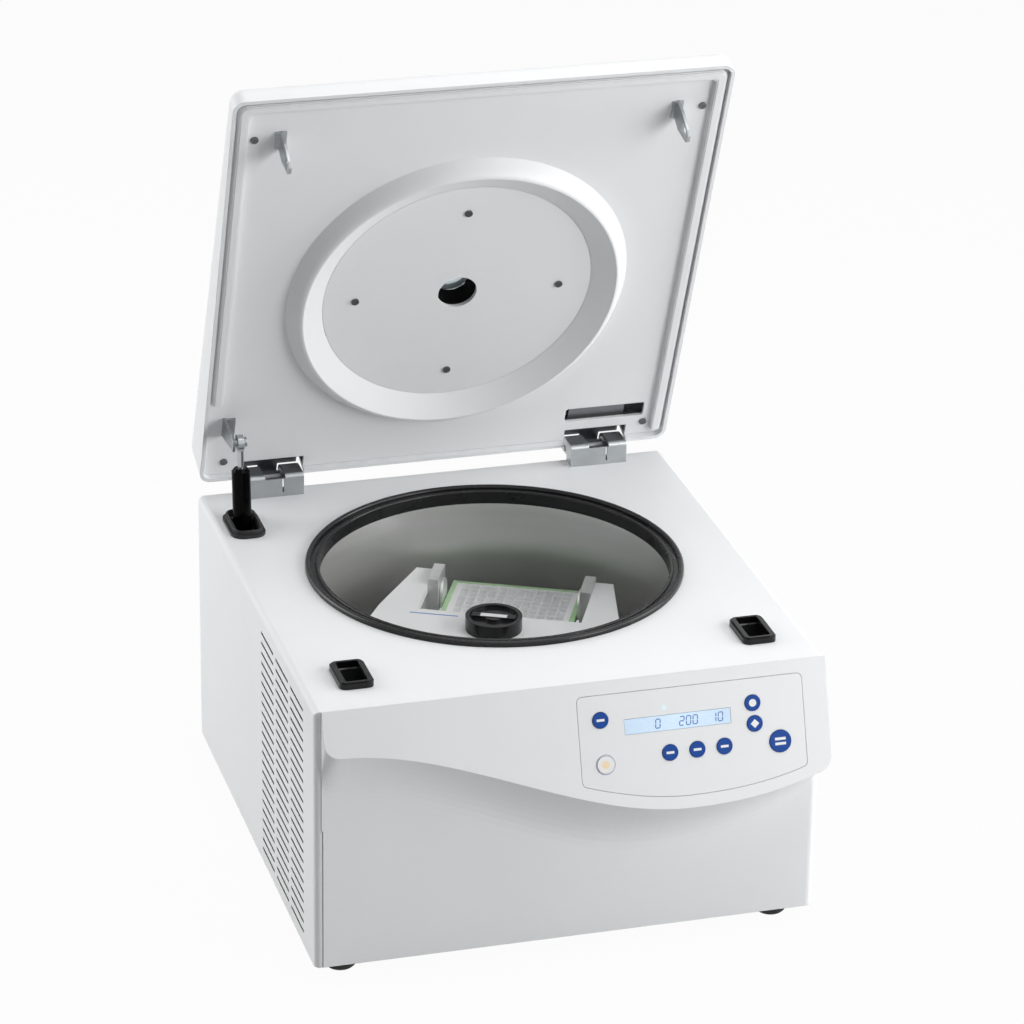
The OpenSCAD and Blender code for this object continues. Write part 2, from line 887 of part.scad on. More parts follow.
module fan_frame() {
    color("dimgray")
        translate([fan_x, 0, fan_z])
            difference() {
                along_y(fan_y1 - seat_gap, fan_t)
                    round_rect(2 * fan_r + 10, 2 * fan_r + 10, 5);
                difference() {
                    along_y(fan_y1 + 1, fan_t + 2)
                        circle(r = fan_r + 1.5);
                    along_y(fan_y0 + 4, 6)
                        circle(r = 17);
                    along_y(fan_y0 + 3, 4)
                        for (a = [45, 135])
                            rotate(a)
                                square([2 * fan_r + 6, 4], center = true);
                }
            }
}

module fan_impeller() {
    color("black")
        translate([fan_x, fan_y0 + 4 + seat_gap, fan_z])
            rotate([-90, 0, 0]) {
                cylinder(r = 18, h = fan_t - 8);
                for (a = [0 : 360 / 7 : 359])
                    rotate([0, 0, a])
                        translate([16, 0, 1.5])
                            rotate([35, 0, 0])
                                translate([0, -1, 0])
                                    cube([fan_r - 17, 2, fan_t - 12]);
            }
}

// Inner frame and chamber
strut_notch = [-side_x, strut_y0 - 28, -side_x + 55, strut_y0 + 14];

module deck_plate() {
    w = body_w - 20;
    color("silver")
        difference() {
            translate([-w / 2, rotor_y - guard_r1 - 4, deck_top - deck_t])
                cube([w, 2 * guard_r1 + 8, deck_t]);
            at_axis(deck_top - deck_t - 1)
                cylinder(r = deck_hole_r, h = deck_t + 2);
            translate([strut_notch[0], strut_notch[1], deck_top - deck_t - 1])
                cube([
                    strut_notch[2] - strut_notch[0],
                    strut_notch[3] - strut_notch[1],
                    deck_t + 2
                ]);
            translate([fan_x - fan_r - 8, fan_y0 - 3, deck_top - deck_t - 1])
                cube([2 * fan_r + 16, fan_t + 3, deck_t + 2]);
        }
}

module deck_posts() {
    color("silver")
        for (sx = [-1, 1], sy = [-1, 1])
            translate([sx * (side_x - 22), rotor_y + sy * (guard_r1 - 12), base_top])
                cylinder(r = 8, h = deck_z - 2 * deck_t);
}

module chamber_bowl() {
    rim = top_z - sheet - seat_gap;
    color("lightgray")
        at_axis()
            rotate_extrude($fn = 128) {
                difference() {
                    union() {
                        translate([seal_hole_r, deck_top])
                            square([bowl_out - bowl_floor_r - seal_hole_r, rim - deck_top]);
                        translate([bowl_out - bowl_floor_r - eps, deck_top + bowl_floor_r])
                            square([bowl_floor_r + eps, rim - deck_top - bowl_floor_r]);
                        translate([bowl_out - bowl_floor_r, deck_top + bowl_floor_r])
                            circle(r = bowl_floor_r);
                    }
                    translate([seal_hole_r - 1, deck_top + bowl_t])
                        square([bowl_r - bowl_floor_r - seal_hole_r + bowl_t + 1, body_h]);
                    translate([bowl_r - bowl_floor_r, deck_top + bowl_floor_r])
                        square([bowl_floor_r, body_h]);
                    translate([bowl_out - bowl_floor_r, deck_top + bowl_floor_r])
                        circle(r = bowl_floor_r - bowl_t);
                }
                // Flange under the cover
                translate([mouth_r, rim - bowl_t])
                    square([bowl_out - mouth_r, bowl_t]);
            }
}

module guard_ring() {
    color("slategray")
        at_axis(deck_top)
            ring(guard_r1, guard_r0, top_z - sheet - deck_top - seat_gap);
}

// Rubber seal with two lips that sits on the edge of the chamber opening
lip1 = gasket_h / 2;
lip2 = 1.8;
lip2_z = gasket_h - 1.9 - lip2;
function lip_arc(r, z, size) = [
    for (a = [0 : 15 : 180]) [r + size * cos(a), top_z + z + size * sin(a)]
];

module lid_gasket() {
    color("black")
        at_axis()
            rotate_extrude($fn = 128)
                polygon(concat(
                    [
                        [gasket_in, top_z - gasket_skirt],
                        [mouth_r - seat_gap, top_z - gasket_skirt],
                        [mouth_r - seat_gap, top_z],
                        [gasket_r, top_z]
                    ],
                    lip_arc(gasket_r - lip1, gasket_h - lip1, lip1),
                    [
                        [gasket_r - 2 * lip1, top_z + lip2_z - 0.2],
                        [gasket_in + 2 * lip2, top_z + lip2_z - 0.2]
                    ],
                    lip_arc(gasket_in + lip2, lip2_z, lip2)
                ));
}

// Drive
module motor_housing() {
    color("dimgray")
        at_axis()
            difference() {
                union() {
                    translate([0, 0, motor_z])
                        cylinder(r = motor_r, h = motor_h);
                    translate([0, 0, motor_top - 6])
                        cylinder(r = motor_flange_r, h = 6);
                    translate([0, 0, motor_top - eps])
                        cylinder(r = boss_r, h = boss_top - motor_top);
                }
                translate([0, 0, motor_z + 8])
                    cylinder(r = motor_r - motor_wall, h = motor_h - 16);
                translate([0, 0, motor_z + 2])
                    cylinder(r = bearing_r, h = 7);
                translate([0, 0, motor_top - 9])
                    cylinder(r = shaft_r + 3, h = boss_top);
                translate([0, 0, boss_top - bearing_h])
                    cylinder(r = bearing_r, h = bearing_h + 1);
            }
}

module motor_stator() {
    color("peru")
        at_axis(motor_z + 14)
            ring(motor_r - motor_wall - run_gap, motor_r - 24, motor_h - 28);
}

module motor_rotor() {
    color("darkslategray")
        at_axis(motor_z + 14)
            ring(motor_r - 25.5, shaft_r + 0.02, motor_h - 28);
}

module motor_bearings() {
    color("silver")
        for (z = [motor_z + 2, boss_top - bearing_h])
            at_axis(z)
                ring(bearing_r - 0.02, shaft_r + run_gap, z > motor_top ? bearing_h : 6.9);
}

module motor_dampers() {
    color("black")
        for (a = [0 : 120 : 359])
            at_axis(motor_top)
                rotate([0, 0, a])
                    translate([motor_flange_r - 11, 0, 0])
                        cylinder(r = 9, h = damper_h);
}

module shaft_seal() {
    color("black")
        at_axis(deck_top)
            difference() {
                union() {
                    ring(seal_hole_r - seat_gap, boss_r + seat_gap, bowl_t + 2);
                    translate([0, 0, bowl_t])
                        ring(seal_hole_r + 5, boss_r + seat_gap, 2);
                }
            }
}

module drive_shaft() {
    color("silver")
        at_axis(motor_z + 3)
            cylinder(r = shaft_r, h = wing_z - motor_z - 11);
}

// Rotor
function wing_outline() = [
    [block_x1, -wing_len], [wing_end, -wing_len], [wing_half - 4, -31], [wing_half, 0],
    [wing_half - 4, 31], [wing_end, wing_len], [block_x1, wing_len]
];

module wing() {
    translate([0, 0, wing_z - wing_t])
        linear_extrude(height = wing_t)
            polygon(wing_outline());
    // Cheeks that carry the bearing blocks
    for (sy = [-1, 1])
        translate([block_x1, sy * swing_r - block_len / 2 + 1, block_top - block_h])
            cube([cheek_t, block_len - 2, block_h - block_rise - 1]);
}

module rotor_cross() {
    color("white")
        at_rotor()
            difference() {
                union() {
                    wing();
                    rotate([0, 0, 180])
                        wing();
                    translate([-block_x1 - 1, -bar_half, wing_z - wing_t])
                        cube([2 * block_x1 + 2, 2 * bar_half, wing_t]);
                    translate([-block_x1 - 1, -5, wing_z - wing_t - 16])
                        cube([2 * block_x1 + 2, 10, 18]);
                    translate([0, 0, wing_z - wing_t - 34])
                        cylinder(r = hub_r, h = wing_t + 34);
                }
                translate([0, 0, wing_z - wing_t - 35])
                    cylinder(r = shaft_r + 0.02, h = wing_t + 35 - 7.9);
                for (sx = [-1, 1], sy = [-1, 1])
                    translate([sx * (block_x1 + 3) - 4, sy * swing_r, swing_z])
                        rod_x(0, 8, trunnion_r + 0.02);
            }
}

// Four blocks, each with the spigot on which a bucket swings
module bearing_blocks() {
    color("silver")
        at_rotor()
            for (sx = [-1, 1], sy = [-1, 1]) {
                translate([
                    sx > 0 ? block_x0 : -block_x1,
                    sy * swing_r - block_len / 2,
                    block_top - block_h
                ])
                    cube([block_t, block_len, block_h]);
                translate([sx > 0 ? bucket_in : -block_x1 - 5.5, sy * swing_r, swing_z])
                    rod_x(0, block_x1 + 5.5 - bucket_in, trunnion_r);
            }
}

module rotor_knob() {
    color("black")
        at_rotor()
            translate([0, 0, wing_z]) {
                difference() {
                    cylinder(r = knob_r, h = knob_h);
                    translate([0, 0, knob_h - 3])
                        cylinder(r = knob_r - 4, h = 4);
                }
                // Grip bar across the knob
                translate([-knob_r + 6, -4, knob_h - 4])
                    cube([2 * knob_r - 12, 8, 4]);
                cylinder(r = 9, h = knob_h - 0.5);
            }
}

// One bucket in the rotor frame, hanging from the spigots on the +Y side
module bucket() {
    ear = 13;
    difference() {
        union() {
            translate([-bucket_out, swing_r - bucket_half_d, bucket_z])
                cube([2 * bucket_out, 2 * bucket_half_d, bucket_floor + bucket_rim]);
            for (sx = [-1, 1])
                translate([sx > 0 ? bucket_in : -bucket_out, swing_r, 0])
                    along_x(0, bucket_wall)
                        difference() {
                            union() {
                                polygon([
                                    [-bucket_half_d, bucket_z], [bucket_half_d, bucket_z],
                                    [bucket_half_d, bucket_z + 20], [ear, swing_z - 12],
                                    [ear, swing_z], [-ear, swing_z],
                                    [-ear, swing_z - 12], [-bucket_half_d, bucket_z + 20]
                                ]);
                                translate([0, swing_z])
                                    circle(r = ear);
                            }
                            translate([0, swing_z])
                                circle(r = trunnion_r + run_gap);
                        }
        }
        translate([-bucket_in, swing_r - bucket_half_d + bucket_wall, plate_z])
            cube([2 * bucket_in, 2 * (bucket_half_d - bucket_wall), plate_h + 10]);
    }
}

module rear_bucket() {
    color("silver")
        at_rotor()
            bucket();
}

module front_bucket() {
    color("silver")
        at_rotor()
            rotate([0, 0, 180])
                bucket();
}

// One deep-well plate: 8 by 12 square well mouths inside a rim
module well_plate() {
    skirt = 2;
    difference() {
        union() {
            translate([-plate_half, swing_r - plate_d / 2, plate_z + seat_gap])
                cube([plate_w, plate_d, 8]);
            translate([-plate_half + skirt, swing_r - plate_d / 2 + skirt, plate_z + seat_gap])
                cube([plate_w - 2 * skirt, plate_d - 2 * skirt, plate_h - seat_gap]);
            translate([-plate_half, swing_r - plate_d / 2, plate_top - 4])
                cube([plate_w, plate_d, 4]);
        }
        for (i = [0 : 11], j = [0 : 7])
            translate([
                (i - 5.5) * well_pitch - well_w / 2,
                swing_r + (j - 3.5) * well_pitch - well_w / 2,
                plate_top - well_mouth
            ])
                cube([well_w, well_w, well_mouth + 1]);
    }
}

module rear_plate() {
    color("palegreen")
        at_rotor()
            well_plate();
}

module front_plate() {
    color("palegreen")
        at_rotor()
            rotate([0, 0, 180])
                well_plate();
}

// Latches
module latch_bezels() {
    color("black")
        for (sx = [-1, 1])
            translate([sx * latch_x, latch_y, top_z])
                difference() {
                    union() {
                        round_box(bezel_w, bezel_d, bezel_h - 1.5, 6);
                        round_box(bezel_w - 3, bezel_d - 3, bezel_h, 5);
                    }
                    translate([0, 0, -1])
                        round_box(mouth_w, mouth_d, bezel_h + 2, 2);
                }
}

module latch_cases() {
    color("dimgray")
        for (sx = [-1, 1])
            translate([sx * latch_x, latch_y, case_z0])
                difference() {
                    translate([-case_w / 2, -case_d / 2, 0])
                        cube([case_w, case_d, latch_depth - seat_gap]);
                    translate([-case_w / 2 + case_t, -case_d / 2 + case_t, case_t])
                        cube([case_w - 2 * case_t, case_d - 2 * case_t, latch_depth]);
                    translate([sx * pawl_x, 0, pawl_z - case_z0])
                        rotate([90, 0, 0])
                            cylinder(r = 2.55, h = case_d + 2, center = true);
                }
}

// Pawl with its shaft across the latch case, drawn swung back from the striker
module pawl(sx) {
    color("silver")
        translate([sx * (latch_x + pawl_x), latch_y, pawl_z])
            mirror([sx < 0 ? 1 : 0, 0, 0]) {
                rotate([90, 0, 0])
                    cylinder(r = 2.5, h = case_d - 0.5, center = true);
                translate([0, striker_y + 3 - latch_y, 0]) {
                    rotate([90, 0, 0])
                        cylinder(r = 3.2, h = 12, center = true);
                    translate([-2, -4, 2])
                        cube([4, 8, 19]);
                    translate([-7, -4, 16])
                        cube([8, 8, 5]);
                }
            }
}

module left_pawl() { pawl(-1); }
module right_pawl() { pawl(1); }

// Hinges
module at_hinges() {
    for (sx = [-1, 1])
        translate([sx * hinge_x - hinge_w / 2, 0, 0])
            children();
}

module cover_strip() {
    translate([bracket_y, top_z])
        square([hinge_t, bracket_h - bend_r]);
    translate([bracket_y + bend_r, bracket_top - hinge_t])
        square([hinge_y - bracket_y - bend_r, hinge_t]);
    intersection() {
        translate([bracket_y + bend_r, bracket_top - bend_r])
            difference() {
                circle(r = bend_r);
                circle(r = bend_r - hinge_t);
            }
        translate([bracket_y, bracket_top - bend_r])
            square([bend_r, bend_r]);
    }
    // Curl over the hinge axis
    intersection() {
        translate([hinge_y, hinge_z])
            difference() {
                circle(r = curl_r);
                circle(r = curl_r - hinge_t);
            }
        translate([hinge_y, hinge_z - 4])
            square([curl_r, curl_r + 4]);
    }
}

module cheek_outline() {
    difference() {
        union() {
            translate([bracket_y, top_z])
                square([rear_y - 3 - bracket_y, bracket_h - bend_r]);
            translate([bracket_y + bend_r, top_z])
                square([hinge_y - bracket_y - bend_r, bracket_h]);
            translate([bracket_y + bend_r, bracket_top - bend_r])
                circle(r = bend_r);
            translate([hinge_y, hinge_z])
                circle(r = curl_r);
        }
        translate([rear_y - 3, top_z - curl_r])
            square([2 * curl_r, hinge_up - 4 + curl_r]);
        translate([hinge_y, hinge_z])
            circle(r = hinge_pin_r + 0.02);
    }
}

module hinge_brackets() {
    side_w = (hinge_w - leaf_w) / 2 - 0.5;
    color("silver")
        at_hinges()
            difference() {
                union() {
                    translate([0, bracket_y, top_z])
                        cube([hinge_w, hinge_t, bracket_h - bend_r]);
                    translate([0, bracket_y, top_z])
                        cube([hinge_w, rear_y - 3 - bracket_y, hinge_t]);
                    along_x(0, side_w)
                        cover_strip();
                    along_x(hinge_w - side_w, side_w)
                        cover_strip();
                    along_x(0, hinge_t)
                        cheek_outline();
                    along_x(hinge_w - hinge_t, hinge_t)
                        cheek_outline();
                }
                // Slit in the front plate
                translate([35, bracket_y - 1, top_z + 4])
                    cube([1.6, hinge_t + 2, bracket_h]);
            }
}

module hinge_pins() {
    color("gray")
        at_hinges()
            translate([-1, hinge_y, hinge_z])
                rod_x(0, hinge_w + 2, hinge_pin_r);
}

// Leaves on the lid's armour plate that reach back to the hinge pins
module hinge_leaves() {
    mid = (hinge_w - leaf_w) / 2;
    step_y = notch_y - 2 - hinge_t;
    color("dimgray")
        lid_pose()
            at_hinges()
                difference() {
                    union() {
                        translate([0, leaf_end, armour_top])
                            cube([hinge_w, step_y + hinge_t - leaf_end, hinge_t]);
                        translate([0, step_y, armour_top])
                            cube([hinge_w, hinge_t, leaf_z + hinge_t - armour_top]);
                        translate([0, step_y, leaf_z])
                            cube([hinge_w, lid_y1 + 3 - step_y, hinge_t]);
                        translate([mid, step_y, leaf_z])
                            cube([leaf_w, hinge_y + knuckle_r - step_y, hinge_t]);
                        translate([mid, hinge_y + knuckle_r - hinge_t, hinge_z])
                            cube([leaf_w, hinge_t, leaf_z + hinge_t - hinge_z]);
                        translate([mid, hinge_y, hinge_z])
                            rod_x(0, leaf_w, knuckle_r);
                    }
                    translate([mid - 1, hinge_y, hinge_z])
                        rod_x(0, leaf_w + 2, hinge_pin_r + run_gap);
                }
}

// Lid
function lid_top(y) = rim_z + lid_front_t
    + (lid_rear_t - lid_front_t) * (y - lid_y0) / (lid_y1 - lid_y0);

module lid_form(inset) {
    r = lid_r - inset;
    hull()
        for (sx = [-1, 1], y = [lid_y0 + lid_r, lid_y1 - lid_r])
            translate([sx * (side_x - lid_r), y, 0]) {
                translate([0, 0, lid_top(y) - lid_r])
                    sphere(r = r, $fn = 32);
                translate([0, 0, rim_z - (inset > 0 ? 1 : 0)])
                    cylinder(r = r, h = 1, $fn = 32);
            }
}

module hinge_notches(z0, z1) {
    at_hinges()
        translate([hinge_w / 2 - notch_half, notch_y, z0])
            cube([2 * notch_half, lid_y1 + 5 - notch_y, z1 - z0]);
}

module lid_shell() {
    color("white")
        lid_pose()
            difference() {
                lid_form(0);
                lid_form(lid_wall);
                hinge_notches(rim_z - 5, leaf_z + hinge_t + 0.6);
                at_axis(rim_z)
                    cylinder(r = sight_r - 3, h = body_h);
            }
}

module panel_plan(half, y0, y1, r) {
    translate([0, (y0 + y1) / 2])
        round_rect(2 * half, y1 - y0, r);
}

function ridge_points() = concat(
    [[ridge_foot_r, panel_top]],
    [for (i = [0 : ridge_steps])
        let (a = i / ridge_steps)
        [ridge_foot_r - (ridge_foot_r - ridge_r) * a, panel_z - ridge_h * pow(sin(90 * a), 1.1)]],
    [[disc_r + seat_gap, disc_z], [disc_r + seat_gap, panel_top]]
);

lip_end = lid_y1 - 99.5;
module lip_layer(inset, z0, z1) {
    translate([0, 0, z0])
        linear_extrude(height = z1 - z0)
            difference() {
                panel_plan(lip_out - inset, lip_y0 + inset, lid_y1 + 40, 9 - inset);
                panel_plan(lip_in + inset, lip_y0 + lip_w - inset, lid_y1 + 60, 4);
                translate([-side_x, lip_end])
                    square([side_x, body_d]);
                translate([0, lid_y1 - lid_r])
                    square([side_x, body_d]);
            }
}

lip_layers = 4;
module lip() {
    for (i = [0 : lip_layers - 1])
        lip_layer(
            lip_w * 0.36 * (1 - cos(90 * i / lip_layers)),
            panel_z - panel_in * sin(90 * (i + 1) / lip_layers),
            panel_z - panel_in * sin(90 * i / lip_layers) + eps
        );
}

module lid_panel() {
    plate_y0 = lid_y0 + lid_wall + seat_gap;
    plate_y1 = lid_y1 - lid_wall - seat_gap;
    color("lightgray")
        lid_pose()
            difference() {
                union() {
                    translate([0, 0, panel_z])
                        linear_extrude(height = panel_t)
                            difference() {
                                panel_plan(panel_half, plate_y0, plate_y1, 8);
                                translate([0, rotor_y])
                                    circle(r = disc_r + 5);
                            }
                    at_axis()
                        rotate_extrude($fn = 128)
                            polygon(ridge_points());
                    lip();
                }
                hinge_notches(rim_z - 5, panel_top + 1);
                // Slot above the right hinge
                translate([side_x - 64.5, lid_y1 - 37, panel_z - 1])
                    round_box(lid_slot_w, lid_slot_h, panel_t + 2, 2.5);
                for (sx = [-1, 1], y = [screw_y0, screw_y1])
                    translate([sx * screw_x, y, panel_z - 1])
                        cylinder(r = 2.2, h = panel_t + 2);
            }
}

module disc_screws_at() {
    for (a = [0 : 90 : 359])
        at_axis()
            rotate([0, 0, a])
                translate([disc_screw_r, 0, 0])
                    children();
}

module lid_disc() {
    color("gainsboro")
        lid_pose()
            difference() {
                at_axis(disc_z)
                    ring(disc_r, sight_r, panel_top - disc_z);
                disc_screws_at()
                    translate([0, 0, disc_z - 1])
                        cylinder(r = 2.2, h = panel_top - disc_z + 2);
            }
}

module lid_armour() {
    color("slategray")
        lid_pose()
            difference() {
                translate([0, 0, panel_top])
                    linear_extrude(height = armour_t)
                        panel_plan(panel_half - 7, lid_y0 + 12, notch_y - 1, 6);
                at_axis(panel_top - 1)
                    cylinder(r = sight_r + 1.5, h = armour_t + 2);
                translate([side_x - 64.5, lid_y1 - 37, panel_top - 1])
                    round_box(lid_slot_w, lid_slot_h, armour_t + 2, 2.5);
            }
}

tube_top = lid_top(rotor_y) - lid_wall - 3.5;
module sight_tube() {
    color("whitesmoke")
        lid_pose()
            at_axis(panel_top + seat_gap)
                difference() {
                    cylinder(r = sight_r + 1.2, h = tube_top - panel_top);
                    translate([0, 0, -1])
                        cylinder(r = sight_r - 2, h = body_h);
                    translate([0, 0, tube_top - panel_top - 4])
                        cylinder(r = sight_r - 0.5, h = 10);
                }
}

module sight_glass() {
    color("lightblue")
        lid_pose()
            at_axis(tube_top - 3.7)
                cylinder(r = sight_r - 0.7, h = 3);
}

module screw(z) {
    difference() {
        union() {
            translate([0, 0, z - 1.6])
                cylinder(r = screw_head_r, h = 1.6);
            translate([0, 0, z - eps])
                cylinder(r = 2, h = panel_t);
        }
        translate([0, 0, z - 2])
            for (a = [0, 90])
                rotate([0, 0, a])
                    cube([3.6, 0.8, 2], center = true);
    }
}

module lid_screws() {
    color("silver")
        lid_pose() {
            for (sx = [-1, 1], y = [screw_y0, screw_y1])
                translate([sx * screw_x, y, 0])
                    screw(panel_z);
            disc_screws_at()
                screw(disc_z);
        }
}

// Plates on the lid that drop into the latches, each with a window for the pawl
module strikers() {
    low = panel_z - striker_len;
    color("silver")
        lid_pose()
            for (sx = [-1, 1])
                translate([sx * latch_x, striker_y, 0]) {
                    along_x(-striker_t / 2, striker_t)
                        difference() {
                            polygon([
                                [-9.5, panel_z], [11, panel_z], [14, panel_z - 14],
                                [10, low + 4], [6, low], [0, low], [-4, low + 5],
                                [-8.5, panel_z - 16]
                            ]);
                            translate([3, low + 12])
                                square([10, 11], center = true);
                        }
                    translate([-5, -9, panel_z - 2])
                        cube([10, 19, 2]);
                }
}

// Gas strut
module strut_bracket() {
    color("silver")
        lid_pose()
            translate([-strut_x - 8, strut_y0, 0]) {
                along_x(0, 2.5)
                    polygon([
                        [4, panel_z], [27, panel_z], [9, strut_z0 + 2], [6, strut_z0 - 6],
                        [-6, strut_z0 - 6], [-6, strut_z0 + 6]
                    ]);
                translate([0, 5, panel_z - 2])
                    cube([12, 20, 2]);
                // Stud of the upper joint
                translate([1, 0, strut_z0])
                    rod_x(0, 13, 2.98);
                translate([12, 0, strut_z0])
                    rod_x(0, 2, 4.5);
            }
}

module strut_clip() {
    color("silver")
        strut_pose() {
            difference() {
                rotate([0, 90, 0])
                    cylinder(r = 7, h = 2 * eye_half, center = true);
                rod_x(-4, 8, 2.98 + run_gap);
            }
            translate([-eye_half, -3.5, -8])
                cube([2 * eye_half, 7, 3]);
            translate([-2, 6, -8])
                cube([1.2, 5, 12]);
        }
}

module strut_tube() {
    color("black")
        strut_pose() {
            translate([0, 0, -tube_start + 1])
                cylinder(r = 3, h = tube_start - 9);
            difference() {
                union() {
                    translate([0, 0, -tube_start])
                        cylinder(r1 = tube_r, r2 = tube_r - 2.5, h = 3);
                    translate([0, 0, -tube_start - tube_len])
                        cylinder(r = tube_r, h = tube_len + eps);
                }
                translate([0, 0, -tube_start - tube_len - 1])
                    cylinder(r = rod_r + run_gap, h = tube_start + tube_len + 1 - bore_start);
            }
        }
}

module strut_rod() {
    rod_len = strut_run - bore_start - stroke - 1;
    color("silver")
        strut_pose()
            difference() {
                union() {
                    translate([0, 0, -strut_run])
                        cylinder(r = rod_r, h = rod_len);
                    translate([0, 0, -strut_run])
                        rotate([0, 90, 0])
                            cylinder(r = 8, h = 2 * eye_half, center = true);
                }
                translate([0, 0, -strut_run])
                    rod_x(-eye_half - 1, 2 * eye_half + 2, 4);
            }
}

module strut_boot() {
    color("dimgray")
        translate([-strut_x, boot_y, top_z])
            difference() {
                union() {
                    round_box(boot_w, boot_d, boot_h - 4, 12);
                    round_box(boot_w - 5, boot_d - 5, boot_h, 11);
                }
                translate([0, 0, -1])
                    round_box(boot_hole_w, boot_hole_d, boot_h + 2, boot_hole_r);
            }
}

module power_supply() {
    color("silver")
        translate([side_x - supply_side - supply_w, rear_y - supply_rear - supply_d, base_top])
            cube([supply_w, supply_d, supply_h]);
}

base_plate();
feet();
housing_cover();
front_panel();
rear_panel();
deck_plate();
deck_posts();
chamber_bowl();
guard_ring();
lid_gasket();
motor_housing();
motor_stator();
motor_bearings();
motor_dampers();
shaft_seal();
keypad_plate();
display_window();
control_board();
power_supply();
power_inlet();
fan_frame();
latch_cases();
latch_bezels();
hinge_brackets();
hinge_pins();
strut_boot();
drive_shaft();
motor_rotor();
rotor_cross();
bearing_blocks();
rotor_knob();
rear_bucket();
front_bucket();
rear_plate();
front_plate();
fan_impeller();
open_key();
standby_key();
temperature_key();
speed_key();
time_key();
rotor_key();
short_key();
start_key();
mains_switch();
left_pawl();
right_pawl();
lid_shell();
lid_panel();
lid_disc();
lid_armour();
sight_tube();
sight_glass();
lid_screws();
strikers();
hinge_leaves();
strut_bracket();
strut_clip();
strut_tube();
strut_rod();
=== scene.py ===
import math

import bpy
from mathutils import Matrix, Vector


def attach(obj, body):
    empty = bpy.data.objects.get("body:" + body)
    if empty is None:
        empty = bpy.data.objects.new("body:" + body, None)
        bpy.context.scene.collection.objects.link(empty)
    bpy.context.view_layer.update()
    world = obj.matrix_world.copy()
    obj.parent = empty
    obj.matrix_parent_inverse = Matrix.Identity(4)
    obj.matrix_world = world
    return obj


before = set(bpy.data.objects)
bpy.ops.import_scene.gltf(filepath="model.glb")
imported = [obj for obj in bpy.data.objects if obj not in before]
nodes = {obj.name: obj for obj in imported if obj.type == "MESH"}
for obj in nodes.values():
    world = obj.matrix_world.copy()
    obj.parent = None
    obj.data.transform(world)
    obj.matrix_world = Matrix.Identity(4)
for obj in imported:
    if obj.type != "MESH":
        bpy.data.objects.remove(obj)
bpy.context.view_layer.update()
scene = bpy.context.scene

# Lengths are in metres, in the shared frame, unless a name says otherwise


# Node helpers

